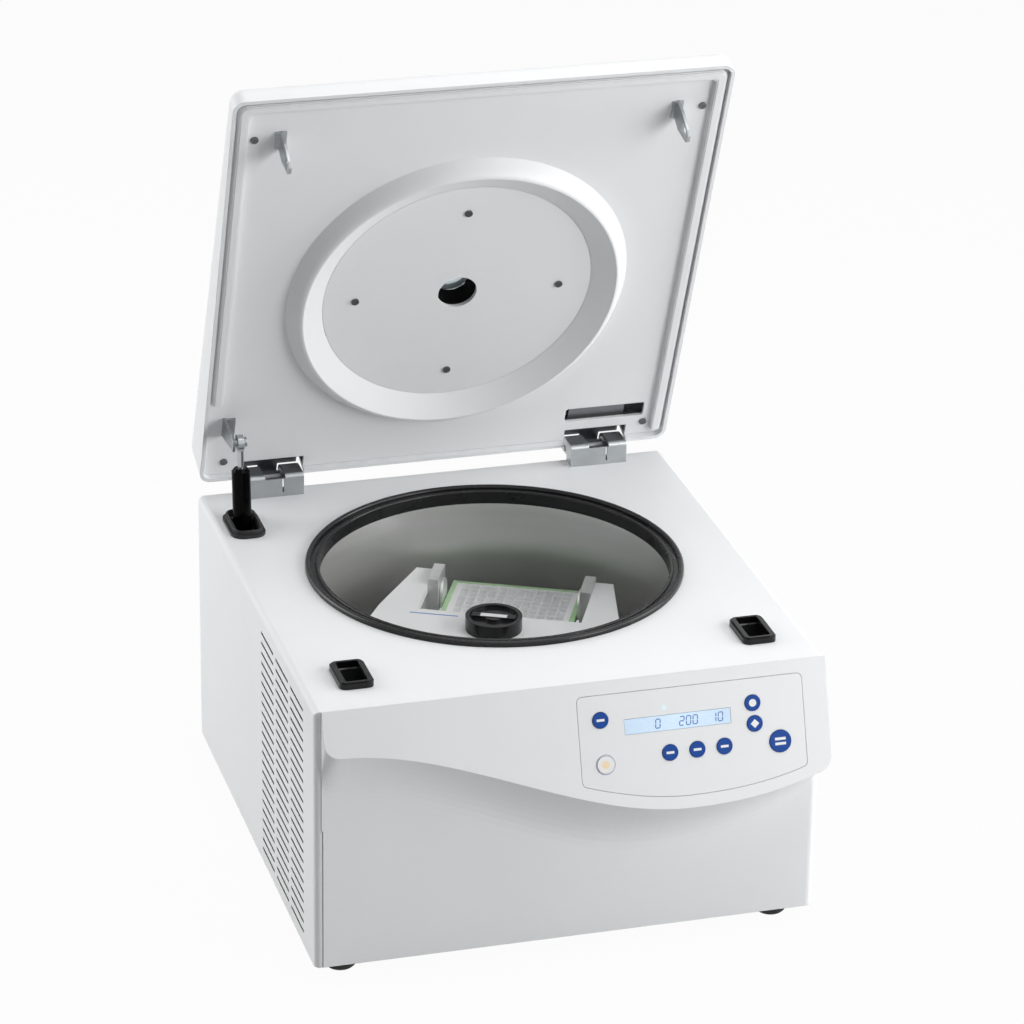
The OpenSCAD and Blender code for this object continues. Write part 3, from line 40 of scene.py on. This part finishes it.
class Shader:
    """A material under construction. add() makes a node, set() fills inputs of main, its Principled shader."""

    def __init__(self, name):
        self.material = bpy.data.materials.new(name)
        self.material.use_nodes = True
        self.tree = self.material.node_tree
        self.tree.nodes.clear()
        output = self.tree.nodes.new("ShaderNodeOutputMaterial")
        self.main = self.tree.nodes.new("ShaderNodeBsdfPrincipled")
        self.tree.links.new(self.main.outputs["BSDF"], output.inputs["Surface"])
        self.coords = self.tree.nodes.new("ShaderNodeTexCoord").outputs["Object"]

    def put(self, socket, value):
        if isinstance(value, bpy.types.NodeSocket):
            self.tree.links.new(value, socket)
        else:
            socket.default_value = value

    def fill(self, node, sockets):
        """Sets or links inputs by name, with _ for each space in a name."""
        for key, value in sockets.items():
            self.put(node.inputs[key.replace("_", " ")], value)

    def add(self, kind, settings=None, **sockets):
        node = self.tree.nodes.new("ShaderNode" + kind)
        for key, value in (settings or {}).items():
            setattr(node, key, value)
        self.fill(node, sockets)
        return node

    def set(self, **sockets):
        self.fill(self.main, sockets)

    def math(self, operation, a, b=0.0, clamp=False):
        node = self.add("Math", {"operation": operation, "use_clamp": clamp})
        self.put(node.inputs[0], a)
        self.put(node.inputs[1], b)
        return node.outputs[0]

    def vector(self, operation, a, b):
        """A vector sum, whose outputs are Vector and Value."""
        node = self.add("VectorMath", {"operation": operation})
        self.put(node.inputs[0], a)
        self.put(node.inputs[1], b)
        return node.outputs

    def remap(self, value, a0, a1, b0, b1):
        node = self.add("MapRange", {"clamp": True}, Value=value)
        for name, number in zip(("From Min", "From Max", "To Min", "To Max"), (a0, a1, b0, b1)):
            node.inputs[name].default_value = number
        return node.outputs[0]

    def mix(self, factor, a, b):
        node = self.add("Mix", {"data_type": "RGBA"})
        self.put(node.inputs[0], factor)
        self.put(node.inputs[6], a)
        self.put(node.inputs[7], b)
        return node.outputs[2]

    def noise(self, scale, detail=3.0, rough=0.5, stretch=None):
        """Noise from 0 to 1 with features about 1/scale metres wide, scaled along each axis by stretch."""
        vector = self.coords
        if stretch:
            vector = self.add("Mapping", Vector=vector, Scale=stretch).outputs["Vector"]
        return self.add("TexNoise", Vector=vector, Scale=scale, Detail=detail, Roughness=rough).outputs["Fac"]

    def vary(self, scale, low, high, detail=3.0):
        """A fine noise that runs from low to high."""
        return self.remap(self.noise(scale, detail), 0.3, 0.7, low, high)

    def soft_edge(self, radius):
        return self.add("Bevel", {"samples": 4}, Radius=radius).outputs["Normal"]

    def relief(self, height, strength, depth, edge):
        """Lays a bump of height over the softened edges."""
        bump = self.add("Bump", Strength=strength, Distance=depth, Height=height, Normal=edge)
        self.set(Normal=bump.outputs["Normal"])

    def over(self, mask, color):
        """Lays a plain colour over the base colour where mask is 1."""
        base = self.main.inputs["Base Color"].links[0].from_socket
        self.set(Base_Color=self.mix(mask, base, color))

    def axes(self, vector):
        split = self.add("SeparateXYZ", Vector=vector)
        return split.outputs["X"], split.outputs["Y"], split.outputs["Z"]

    def along(self, origin, direction):
        """How far the shaded point lies from origin along direction."""
        place = self.vector("SUBTRACT", self.coords, origin)["Vector"]
        return self.vector("DOT_PRODUCT", place, direction)["Value"]

    def inside(self, distance, edge, blur=0.00012):
        """1 where distance is under edge, 0 beyond it."""
        return self.remap(distance, edge - blur, edge + blur, 1.0, 0.0)

    def above(self, value, edge, blur=0.0001):
        """1 where value is over edge, 0 under it."""
        return self.remap(value, edge - blur, edge + blur, 0.0, 1.0)

    def bar(self, u, v, half_w, half_h):
        """1 inside an upright rectangle round u = v = 0."""
        across = self.inside(self.math("ABSOLUTE", u), half_w)
        return self.math("MULTIPLY", across, self.inside(self.math("ABSOLUTE", v), half_h))

    def radius(self, u, v):
        return self.math("SQRT", self.math("ADD", self.math("MULTIPLY", u, u), self.math("MULTIPLY", v, v)))


def rgba(color, k=1.0):
    return (color[0] * k, color[1] * k, color[2] * k, 1.0)


def put_material(material, *names):
    for name in names:
        data = nodes[name].data
        data.materials.clear()
        data.materials.append(material)


# Families of materials

COAT_EDGE = 0.0006
METAL_EDGE = 0.0004
MOULD_EDGE = 0.0004
RUBBER_EDGE = 0.0005


def coated(name, color, rough=0.42, grain=900.0, depth=0.00003, tone=0.035, shine=0.5):
    """Powder coat or moulded plastic: a fine orange peel, a slow change of tone and gloss, and soft edges."""
    s = Shader(name)
    cloud = s.noise(5.0, 4.0, 0.6)
    patch = s.noise(42.0, 3.0, 0.55)
    base = s.mix(s.remap(cloud, 0.3, 0.7, 0, 1), rgba(color, 1 - tone), rgba(color))
    base = s.mix(s.remap(patch, 0.35, 0.75, 0, 0.5), base, rgba(color, 1 - tone * 0.7))
    gloss = s.remap(patch, 0.25, 0.75, rough - 0.05, rough + 0.06)
    s.set(Base_Color=base, Roughness=gloss, Specular_IOR_Level=shine)
    s.relief(s.noise(grain, 2.0, 0.5), 0.35, depth, s.soft_edge(COAT_EDGE))
    return s


def metal(name, color, rough=0.34, streak=(1.0, 1.0, 30.0), bare=1.0):
    """Bare or plated metal: brushed along one direction, mottled, and brighter at its edges, partly as wear
    and partly as a painted highlight.
    """
    s = Shader(name)
    brush = s.noise(260.0, 3.0, 0.6, stretch=streak)
    spots = s.noise(75.0, 4.0, 0.65)
    edge = s.soft_edge(METAL_EDGE)
    flatness = s.vector("DOT_PRODUCT", edge, s.add("NewGeometry").outputs["Normal"])["Value"]
    worn_and_highlit_edges = s.remap(flatness, 0.86, 0.995, 1.0, 0.0)
    base = s.mix(s.remap(spots, 0.3, 0.7, 0, 1), rgba(color, 0.88), rgba(color))
    # Brighter edges: partly real wear, partly a painted highlight.
    base = s.mix(s.math("MULTIPLY", worn_and_highlit_edges, 0.5), base, rgba(color, 1.18))
    grain = s.math("ADD", s.math("MULTIPLY", brush, 0.6), s.math("MULTIPLY", spots, 0.4))
    s.set(Base_Color=base, Metallic=bare, Roughness=s.remap(grain, 0.3, 0.7, rough - 0.07, rough + 0.09))
    s.relief(brush, 0.3, 0.00002, edge)
    return s.material


def rubber(name, color, rough, dust):
    """Moulded rubber: a fine grain, pale dust in patches."""
    s = Shader(name)
    cloud = s.noise(18.0, 4.0, 0.6)
    dusty = tuple(c + dust for c in color) + (1.0,)
    base = s.mix(s.remap(cloud, 0.45, 0.75, 0, 1), rgba(color), dusty)
    gloss = s.remap(cloud, 0.3, 0.7, rough - 0.08, rough + 0.1)
    s.set(Base_Color=base, Roughness=gloss, Specular_IOR_Level=0.3)
    s.relief(s.noise(1400.0, 2.0), 0.4, 0.00003, s.soft_edge(RUBBER_EDGE))
    return s.material


# Camera, fitted to the photograph

PICTURE_SIDE = 1024
FOCAL_PIXELS = 4309.18
AXIS_X = 515.61
AXIS_Y = 517.88
SENSOR_MM = 36
TURNED = math.radians(-16.385)
RAISED = math.radians(24.195)
ROLLED = math.radians(1.01)
ASIDE, ALOFT, AWAY = 0.018712, 0.293, 4.06791
FRAME_FOOT = Vector((0, 0, 0.002))


def place_camera():
    """Stands off FRAME_FOOT by ASIDE, ALOFT and AWAY along the camera's own right, top and back."""
    flat = math.cos(RAISED)
    back = Vector((math.sin(TURNED) * flat, -math.cos(TURNED) * flat, math.sin(RAISED)))
    level = Vector((math.cos(TURNED), math.sin(TURNED), 0.0))
    up = back.cross(level)
    right = level * math.cos(ROLLED) + up * math.sin(ROLLED)
    top = up * math.cos(ROLLED) - level * math.sin(ROLLED)
    place = Matrix((right, top, back)).transposed().to_4x4()
    place.translation = right * ASIDE + top * ALOFT + back * AWAY + FRAME_FOOT
    data = bpy.data.cameras.new("camera")
    data.sensor_width = SENSOR_MM
    data.lens = FOCAL_PIXELS / PICTURE_SIDE * SENSOR_MM
    data.shift_x = -(AXIS_X - PICTURE_SIDE / 2) / PICTURE_SIDE
    data.shift_y = (AXIS_Y - PICTURE_SIDE / 2) / PICTURE_SIDE
    data.clip_start = 0.1
    data.clip_end = 60
    camera = bpy.data.objects.new("camera", data)
    scene.collection.objects.link(camera)
    camera.matrix_world = place
    scene.camera = camera


# Studio

WHITE_TO_RAYS = ("Is Camera Ray", "Is Glossy Ray", "Is Transmission Ray")
SKY_COLOR = (0.97, 0.985, 1.0, 1)
SKY_LEVEL = 0.138
FLOOR_HALF = 8
FLOOR_GREY = (0.5, 0.5, 0.5, 1)
FLOOR_WHITE_SHARE = 0.96
LAMPS = {
    "top_softbox": {
        "place": (0.3, 0.2, 2.4), "aim": (0, 0, 0.2),
        "width": 2.4, "height": 2.0, "watts": 31.5,
    },
    "front_softbox": {
        "place": (1.5, -1.7, 1.0), "aim": (0.05, 0, 0.4),
        "width": 1.0, "height": 1.4, "watts": 31,
    },
    "left_softbox": {
        "place": (-2.0, 1.1, 0.9), "aim": (0, 0.1, 0.2),
        "width": 1.6, "height": 1.6, "watts": 34,
    },
    "right_softbox": {
        "place": (2.2, -0.4, 0.9), "aim": (0, 0, 0.35),
        "width": 1.2, "height": 1.6, "watts": 31,
    },
}


def white_seen(tree, lit, white_kind, amount):
    """Mixes plain white over the lit socket for the rays that should see the background."""
    path = tree.nodes.new("ShaderNodeLightPath")
    total = path.outputs[WHITE_TO_RAYS[0]]
    for name in WHITE_TO_RAYS[1:]:
        largest = tree.nodes.new("ShaderNodeMath")
        largest.operation = "MAXIMUM"
        tree.links.new(total, largest.inputs[0])
        tree.links.new(path.outputs[name], largest.inputs[1])
        total = largest.outputs[0]
    share = tree.nodes.new("ShaderNodeMath")
    share.operation = "MULTIPLY"
    share.inputs[1].default_value = amount
    tree.links.new(total, share.inputs[0])
    white = tree.nodes.new(white_kind)
    white.inputs["Color"].default_value = (1, 1, 1, 1)
    white.inputs["Strength"].default_value = 1.0
    both = tree.nodes.new("ShaderNodeMixShader")
    tree.links.new(share.outputs[0], both.inputs[0])
    tree.links.new(lit, both.inputs[1])
    tree.links.new(white.outputs[0], both.inputs[2])
    return both.outputs[0]


def build_world():
    world = bpy.data.worlds.new("studio")
    world.use_nodes = True
    tree = world.node_tree
    tree.nodes.clear()
    output = tree.nodes.new("ShaderNodeOutputWorld")
    sky = tree.nodes.new("ShaderNodeBackground")
    sky.inputs["Color"].default_value = SKY_COLOR
    sky.inputs["Strength"].default_value = SKY_LEVEL
    seen = white_seen(tree, sky.outputs["Background"], "ShaderNodeBackground", 1.0)
    tree.links.new(seen, output.inputs["Surface"])
    scene.world = world


def build_floor():
    mesh = bpy.data.meshes.new("floor")
    corners = [(x * FLOOR_HALF, y * FLOOR_HALF, 0) for x, y in ((-1, -1), (1, -1), (1, 1), (-1, 1))]
    mesh.from_pydata(corners, [], [(0, 1, 2, 3)])
    floor = bpy.data.objects.new("floor", mesh)
    scene.collection.objects.link(floor)
    material = bpy.data.materials.new("floor_white")
    material.use_nodes = True
    tree = material.node_tree
    tree.nodes.clear()
    output = tree.nodes.new("ShaderNodeOutputMaterial")
    paint = tree.nodes.new("ShaderNodeBsdfDiffuse")
    paint.inputs["Color"].default_value = FLOOR_GREY
    seen = white_seen(tree, paint.outputs["BSDF"], "ShaderNodeEmission", FLOOR_WHITE_SHARE)
    tree.links.new(seen, output.inputs["Surface"])
    mesh.materials.append(material)


def lamp(name, place, aim, width, height, watts):
    """A rectangular soft box at place that faces aim."""
    data = bpy.data.lights.new(name, "AREA")
    data.shape = "RECTANGLE"
    data.size = width
    data.size_y = height
    data.energy = watts
    light = bpy.data.objects.new(name, data)
    scene.collection.objects.link(light)
    light.location = place
    light.rotation_euler = (Vector(aim) - Vector(place)).to_track_quat("-Z", "Y").to_euler()


# Control face: across is x, down is the distance from its upper edge

FACE_TILT = math.radians(19.4)
FACE_TOP = Vector((0.0, -0.2368, 0.268))
DOWN = Vector((0.0, -math.sin(FACE_TILT), -math.cos(FACE_TILT)))
OUT = Vector((0.0, -math.cos(FACE_TILT), math.sin(FACE_TILT)))

KEY_BLUE = (0.003, 0.058, 0.30)
KEY_WHITE = (0.86, 0.86, 0.85)
LAMP_ORANGE = (0.93, 0.74, 0.50, 1)
MARKS = {
    "open_key": "bar", "temperature_key": "bar", "speed_key": "bar", "time_key": "bar",
    "rotor_key": "dot", "short_key": "diamond", "start_key": "bars", "standby_key": "lamp",
}
BAR_HALF_W, BAR_HALF_H = 0.0036, 0.0011
WIDE_HALF_W, WIDE_HALF_H = 0.0050, 0.0012
BARS_APART = 0.0044
DOT_R = 0.0034
DIAMOND_R = 0.0040
LAMP_BLUR = 0.0008

DOT_FROM_DISPLAY = (-0.0113, -0.0136)
SIGNAL_R, SIGNAL_BLUR = 0.0026, 0.0006
RING_R, RING_HALF_W = 0.0087, 0.0003
GLOW_REACH = 0.05


def face_place(name):
    """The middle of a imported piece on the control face, across it and down it."""
    points = [v.co - FACE_TOP for v in nodes[name].data.vertices]
    middle = []
    for measures in ([p.x for p in points], [p.dot(DOWN) for p in points]):
        middle.append((min(measures) + max(measures)) / 2)
    return middle


def face_axes(s, across, down):
    """Distances from one point of the control face, across and down it."""
    x, _, _ = s.axes(s.coords)
    return s.math("SUBTRACT", x, across), s.math("SUBTRACT", s.along(FACE_TOP, DOWN), down)


def mark_mask(s, u, v, mark):
    """1 where a key's mark is printed."""
    if mark == "bar":
        return s.bar(u, v, BAR_HALF_W, BAR_HALF_H)
    if mark == "bars":
        upper = s.bar(u, s.math("ADD", v, BARS_APART / 2), WIDE_HALF_W, WIDE_HALF_H)
        lower = s.bar(u, s.math("SUBTRACT", v, BARS_APART / 2), WIDE_HALF_W, WIDE_HALF_H)
        return s.math("ADD", upper, lower, True)
    if mark == "dot":
        return s.inside(s.radius(u, v), DOT_R)
    if mark == "diamond":
        return s.inside(s.math("ADD", s.math("ABSOLUTE", u), s.math("ABSOLUTE", v)), DIAMOND_R)
    return s.inside(s.radius(u, v), DOT_R, LAMP_BLUR)


def key_material(name, mark):
    """A moulded key cap with a plain printed mark: one or two bars, a dot, a diamond or a lamp."""
    s = Shader(name + "_cap")
    u, v = face_axes(s, *face_place(name))
    mask = mark_mask(s, u, v, mark)
    tone = s.vary(160.0, 0.0, 0.25)
    if mark == "lamp":
        body = s.mix(tone, rgba(KEY_WHITE), rgba(KEY_WHITE, 0.9))
        print_color = LAMP_ORANGE
    else:
        body = s.mix(tone, rgba(KEY_BLUE), rgba(KEY_BLUE, 0.75))
        print_color = rgba(KEY_WHITE)
    color = s.mix(mask, body, print_color)
    s.set(Base_Color=color, Roughness=s.vary(900.0, 0.3, 0.42), Specular_IOR_Level=0.25)
    s.relief(mask, 0.2, 0.00003, s.soft_edge(MOULD_EDGE))
    return s.material


def foil_material():
    """The keypad's foil: a fine texture, a small signal dot and a ring round the standby key."""
    s = coated("keypad_foil", (0.82, 0.83, 0.84), 0.36, 1600.0, 0.00001)
    across, down = face_place("display_window")
    u, v = face_axes(s, across + DOT_FROM_DISPLAY[0], down + DOT_FROM_DISPLAY[1])
    s.over(s.inside(s.radius(u, v), SIGNAL_R, SIGNAL_BLUR), (0.80, 0.93, 1.0, 1))
    u, v = face_axes(s, *face_place("standby_key"))
    from_ring = s.math("ABSOLUTE", s.math("SUBTRACT", s.radius(u, v), RING_R))
    s.over(s.inside(from_ring, RING_HALF_W), (0.30, 0.28, 0.45, 1))
    return s.material


def display_material():
    """A lit display under a clear window: brighter towards its middle."""
    s = Shader("display")
    u, _ = face_axes(s, *face_place("display_window"))
    glow = s.remap(s.math("ABSOLUTE", u), 0.0, GLOW_REACH, 0.16, 0.05)
    cells = s.vary(700.0, 0.0, 1.0, detail=1.0)
    color = s.mix(cells, (0.60, 0.76, 0.95, 1), (0.67, 0.82, 0.98, 1))
    s.set(Base_Color=color, Emission_Color=color, Emission_Strength=glow, Roughness=s.vary(90.0, 0.16, 0.26))
    return s.material


# Digits on the display

SEGMENTS = {"0": "abcdef", "1": "bc", "2": "abged"}
NUMBERS = ((-0.0182, "0"), (0.0038, "200"), (0.0333, "10"))
DIGIT_W, DIGIT_H, DIGIT_STEP = 0.0040, 0.0078, 0.0062
BAR_SHARE, GAP_SHARE = 0.23, 0.03
LEAN = 0.08
INK_THICK = 0.00006


def flat_bar(y):
    """Corners of a level bar at height y of a digit, with pointed ends."""
    half_t, gap, end = DIGIT_W * BAR_SHARE / 2, DIGIT_W * GAP_SHARE, DIGIT_W / 2
    near = end - half_t - gap
    return [(-near, y - half_t), (near, y - half_t), (end - gap, y),
            (near, y + half_t), (-near, y + half_t), (gap - end, y)]


def upright_bar(x, y0, y1):
    """Corners of an upright bar from y0 down to y1 of a digit, with pointed ends."""
    half_t, gap = DIGIT_W * BAR_SHARE / 2, DIGIT_W * GAP_SHARE
    near = half_t + gap
    return [(x - half_t, y0 + near), (x, y0 + gap), (x + half_t, y0 + near),
            (x + half_t, y1 - near), (x, y1 - gap), (x - half_t, y1 - near)]


def digit_bars(across, down, digit):
    """Corner lists of the lit bars of one plain seven-segment digit, leaning a little."""
    w, h = DIGIT_W / 2, DIGIT_H / 2
    shapes = {
        "a": flat_bar(-h), "g": flat_bar(0.0), "d": flat_bar(h),
        "f": upright_bar(-w, -h, 0), "b": upright_bar(w, -h, 0),
        "e": upright_bar(-w, 0, h), "c": upright_bar(w, 0, h),
    }
    return [[(across + x - y * LEAN, down + y) for x, y in shapes[name]] for name in SEGMENTS[digit]]


def add_digits():
    """Plain digits that lie on the display's window, as thin printed bars."""
    top = max((v.co - FACE_TOP).dot(OUT) for v in nodes["display_window"].data.vertices)
    middle, down = face_place("display_window")
    bars = []
    for offset, text in NUMBERS:
        for i, digit in enumerate(text):
            bars += digit_bars(middle + offset + i * DIGIT_STEP, down, digit)
    points, faces = [], []
    for bar in bars:
        n, first = len(bar), len(points)
        for lift in (0.0, INK_THICK):
            points += [FACE_TOP + Vector((x, 0, 0)) + DOWN * y + OUT * (top + lift) for x, y in bar]
        faces.append([first + n + i for i in range(n)])
        faces += [[first + i, first + (i + 1) % n, first + n + (i + 1) % n, first + n + i] for i in range(n)]
        faces.append([first + n - 1 - i for i in range(n)])
    mesh = bpy.data.meshes.new("display_digits")
    mesh.from_pydata([tuple(p) for p in points], [], faces)
    piece = bpy.data.objects.new("display_digits", mesh)
    scene.collection.objects.link(piece)
    s = Shader("display_ink")
    ink = s.mix(s.vary(900.0, 0, 1), (0.05, 0.15, 0.42, 1), (0.08, 0.20, 0.50, 1))
    s.set(Base_Color=ink, Roughness=0.5)
    mesh.materials.append(s.material)
    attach(piece, "housing")


# Rotor, chamber and plates

ROTOR_TURN = math.radians(25.5)
ROTOR_Y = 0.018
SWING_OUT = 0.102

LINE_ALONG, LINE_OUT = -0.060, 0.019
LINE_HALF_L, LINE_HALF_W = 0.0230, 0.0010
WING_TOP = 0.2027

GRIP_HALF_L, GRIP_HALF_W = 0.0125, 0.0032
GRIP_TOP = 0.2150

# Heights between which painted shade darkens the bowl towards its foot
SHADE_FOOT, SHADE_TOP = 0.165, 0.215

WELLS_HALF_L, WELLS_HALF_W = 0.0585, 0.0374
RIM_BLEND = 0.001
GREEN_DEPTH, GREEN_BLUR = 0.008, 0.003


def rotor_axes(s):
    """Distances from the resting rotor's axis along and across its crossbar, and the height."""
    x, y, height = s.axes(s.coords)
    y = s.math("SUBTRACT", y, ROTOR_Y)
    cos, sin = math.cos(ROTOR_TURN), math.sin(ROTOR_TURN)
    along = s.math("SUBTRACT", s.math("MULTIPLY", x, cos), s.math("MULTIPLY", y, sin))
    out = s.math("ADD", s.math("MULTIPLY", x, sin), s.math("MULTIPLY", y, cos))
    return along, out, height


def rotor_material():
    """White painted rotor with one thin blue line printed beside the knob."""
    s = coated("rotor_white", (0.93, 0.935, 0.94), 0.38, 700.0, 0.00002)
    along, out, height = rotor_axes(s)
    u, v = s.math("SUBTRACT", along, LINE_ALONG), s.math("SUBTRACT", out, LINE_OUT)
    line = s.bar(u, v, LINE_HALF_L, LINE_HALF_W)
    s.over(s.math("MULTIPLY", line, s.above(height, WING_TOP)), (0.16, 0.28, 0.62, 1))
    return s.material


def knob_material():
    """Black knob whose grip bar is bare bright metal on top."""
    s = coated("knob_black", (0.010, 0.010, 0.011), 0.22, 700.0, 0.00001, 0.2, shine=0.35)
    along, out, height = rotor_axes(s)
    grip = s.bar(along, out, GRIP_HALF_L, GRIP_HALF_W)
    s.over(s.math("MULTIPLY", grip, s.above(height, GRIP_TOP)), (0.74, 0.75, 0.76, 1))
    return s.material


def bowl_material():
    """Spun stainless steel: rings of fine brushing, slow bands, and painted shade that darkens it towards its
    foot.
    """
    s = Shader("stainless")
    _, _, height = s.axes(s.coords)
    brush = s.noise(300.0, 3.0, 0.6, stretch=(0.06, 0.06, 1.0))
    bands = s.noise(34.0, 2.0, 0.4, stretch=(0.02, 0.02, 1.0))
    base = s.mix(s.remap(bands, 0.3, 0.7, 0, 1), (0.66, 0.66, 0.655, 1), (0.82, 0.82, 0.81, 1))
    # Painted shade: the colour darkens towards the bowl's foot.
    painted_foot_shade = s.remap(height, SHADE_FOOT, SHADE_TOP, 0.3, 0.0)
    s.set(Base_Color=s.mix(painted_foot_shade, base, (0.16, 0.158, 0.155, 1)), Metallic=0.75,
          Roughness=s.remap(brush, 0.3, 0.7, 0.30, 0.42), Anisotropic=0.5,
          Tangent=s.add("Tangent", {"direction_type": "RADIAL", "axis": "Z"}).outputs["Tangent"])
    s.relief(brush, 0.3, 0.00002, s.soft_edge(METAL_EDGE))
    return s.material


def plate_material():
    """Deep-well plate: translucent white wells inside a pale green frame, over milky walls."""
    s = Shader("plate_plastic")
    top = max(v.co.z for v in nodes["rear_plate"].data.vertices)
    along, out, height = rotor_axes(s)
    from_middle = s.math("ABSOLUTE", s.math("SUBTRACT", s.math("ABSOLUTE", out), SWING_OUT))
    ends = s.remap(s.math("ABSOLUTE", along), WELLS_HALF_L, WELLS_HALF_L + RIM_BLEND, 0, 1)
    sides = s.remap(from_middle, WELLS_HALF_W, WELLS_HALF_W + RIM_BLEND, 0, 1)
    cloud = s.vary(60.0, 0, 1)
    wells = s.mix(cloud, (0.93, 0.94, 0.96, 1), (0.98, 0.98, 0.99, 1))
    green = s.mix(cloud, (0.44, 0.70, 0.38, 1), (0.52, 0.78, 0.46, 1))
    upper = s.above(height, top - GREEN_DEPTH, GREEN_BLUR)
    frame_color = s.mix(upper, (0.80, 0.86, 0.79, 1), green)
    s.set(Base_Color=s.mix(s.math("MAXIMUM", ends, sides), wells, frame_color),
          Roughness=s.vary(300.0, 0.28, 0.4),
          Subsurface_Weight=0.8, Subsurface_Radius=(1.0, 1.0, 1.0), Subsurface_Scale=0.004)
    s.relief(s.noise(900.0), 0.2, 0.00001, s.soft_edge(MOULD_EDGE))
    return s.material


# Housing, strut and glass

COVER_SIDE = 0.2295
COVER_SIDE_TOP = 0.2510
STRUT_LEAN = math.radians(4.7)
STRUT_TOP = Vector((-0.205, 0.1711, 0.3482))
STRUT_UP = Vector((0.0, math.sin(STRUT_LEAN), math.cos(STRUT_LEAN)))
NECK_LENGTH = 0.0249


def cover_material():
    """White sheet with painted shade: the upward-facing cut edges in the left side's slots are painted near
    black, as the shade inside the slots.
    """
    s = coated("white_paint", (0.85, 0.86, 0.87), 0.42)
    x, _, height = s.axes(s.coords)
    _, _, facing_up = s.axes(s.add("NewGeometry").outputs["True Normal"])
    left = s.above(s.math("MULTIPLY", x, -1.0), COVER_SIDE)
    under_top = s.above(s.math("MULTIPLY", height, -1.0), -COVER_SIDE_TOP)
    slots = s.math("MULTIPLY", left, under_top)
    # Painted shade: the slots' lower walls are coloured near black so that the slots read as dark openings.
    edges = s.math("MULTIPLY", slots, s.remap(facing_up, 0.8, 0.9, 0.0, 1.0))
    s.over(edges, (0.035, 0.037, 0.04, 1))
    return s.material


def strut_material():
    """Glossy black tube with a bare steel neck above its shoulder."""
    s = coated("strut_black", (0.002, 0.002, 0.002), 0.12, 300.0, 0.000004, 0.2, shine=0.04)
    neck = s.above(s.along(STRUT_TOP, STRUT_UP), -NECK_LENGTH)
    s.over(neck, (0.42, 0.43, 0.44, 1))
    s.set(Metallic=neck, Specular_IOR_Level=s.remap(neck, 0, 1, 0.04, 0.5))
    return s.material


def glass_material():
    """Clear glass with a faint change of gloss."""
    s = Shader("glass")
    s.set(Base_Color=(0.82, 0.9, 0.92, 1), Roughness=s.vary(60.0, 0.02, 0.07), Transmission_Weight=0.9)
    return s.material


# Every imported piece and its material

def dress_housing():
    put_material(cover_material(), "housing_cover")
    put_material(coated("rear_paint", (0.85, 0.86, 0.87), 0.42).material, "rear_panel")
    put_material(coated("white_plastic", (0.82, 0.83, 0.84), 0.44, 1300.0, 0.00002).material, "front_panel")
    dark_steel = coated("dark_steel", (0.05, 0.052, 0.055), 0.5).material
    put_material(dark_steel, "base_plate", "lid_armour", "latch_cases", "guard_ring")
    put_material(coated("board", (0.02, 0.12, 0.05), 0.4).material, "control_board")
    black = coated("black_plastic", (0.006, 0.006, 0.007), 0.2, 700.0, 0.00001, 0.2, shine=0.3)
    put_material(black.material, "latch_bezels", "power_inlet", "fan_frame", "fan_impeller", "mains_switch")
    put_material(foil_material(), "keypad_plate")
    put_material(display_material(), "display_window")
    for name, mark in MARKS.items():
        put_material(key_material(name, mark), name)


def dress_metal_and_rubber():
    zinc = metal("zinc_steel", (0.42, 0.44, 0.45), 0.34, bare=0.9)
    put_material(zinc, "hinge_brackets", "hinge_pins", "strikers", "strut_clip", "strut_rod")
    put_material(zinc, "deck_plate", "deck_posts", "motor_bearings", "drive_shaft")
    put_material(zinc, "left_pawl", "right_pawl", "power_supply")
    put_material(metal("bracket_steel", (0.34, 0.36, 0.37), 0.34), "strut_bracket")
    put_material(metal("screw_steel", (0.16, 0.165, 0.17), 0.3), "lid_screws")
    put_material(metal("grey_steel", (0.26, 0.27, 0.285), 0.42), "hinge_leaves")
    put_material(metal("motor_metal", (0.16, 0.17, 0.18), 0.5), "motor_housing", "motor_rotor")
    put_material(metal("copper", (0.72, 0.36, 0.2), 0.4, (1, 1, 60)), "motor_stator")
    black_rubber = rubber("black_rubber", (0.009, 0.009, 0.010), 0.28, 0.006)
    put_material(black_rubber, "lid_gasket", "motor_dampers", "shaft_seal")
    put_material(rubber("grey_rubber", (0.018, 0.018, 0.019), 0.5, 0.012), "feet", "strut_boot")


def dress_rotor_and_chamber():
    put_material(bowl_material(), "chamber_bowl")
    put_material(rotor_material(), "rotor_cross")
    put_material(knob_material(), "rotor_knob")
    blocks = metal("block_metal", (0.74, 0.745, 0.75), 0.4, (30, 30, 1), bare=0.7)
    put_material(blocks, "bearing_blocks", "rear_bucket", "front_bucket")
    put_material(plate_material(), "rear_plate", "front_plate")


def dress_lid():
    lid_white = coated("lid_white", (0.82, 0.83, 0.84), 0.44, 1100.0, 0.00003).material
    put_material(lid_white, "lid_shell", "lid_panel", "lid_disc")
    tube = coated("tube_black", (0.002, 0.002, 0.002), 0.7, 700.0, 0.00001, 0.2, shine=0.05)
    put_material(tube.material, "sight_tube")
    put_material(strut_material(), "strut_tube")
    put_material(glass_material(), "sight_glass")


place_camera()
build_world()
build_floor()
for lamp_name, values in LAMPS.items():
    lamp(lamp_name, **values)
dress_housing()
dress_metal_and_rubber()
dress_rotor_and_chamber()
dress_lid()
add_digits()
scene.view_settings.view_transform = "Standard"
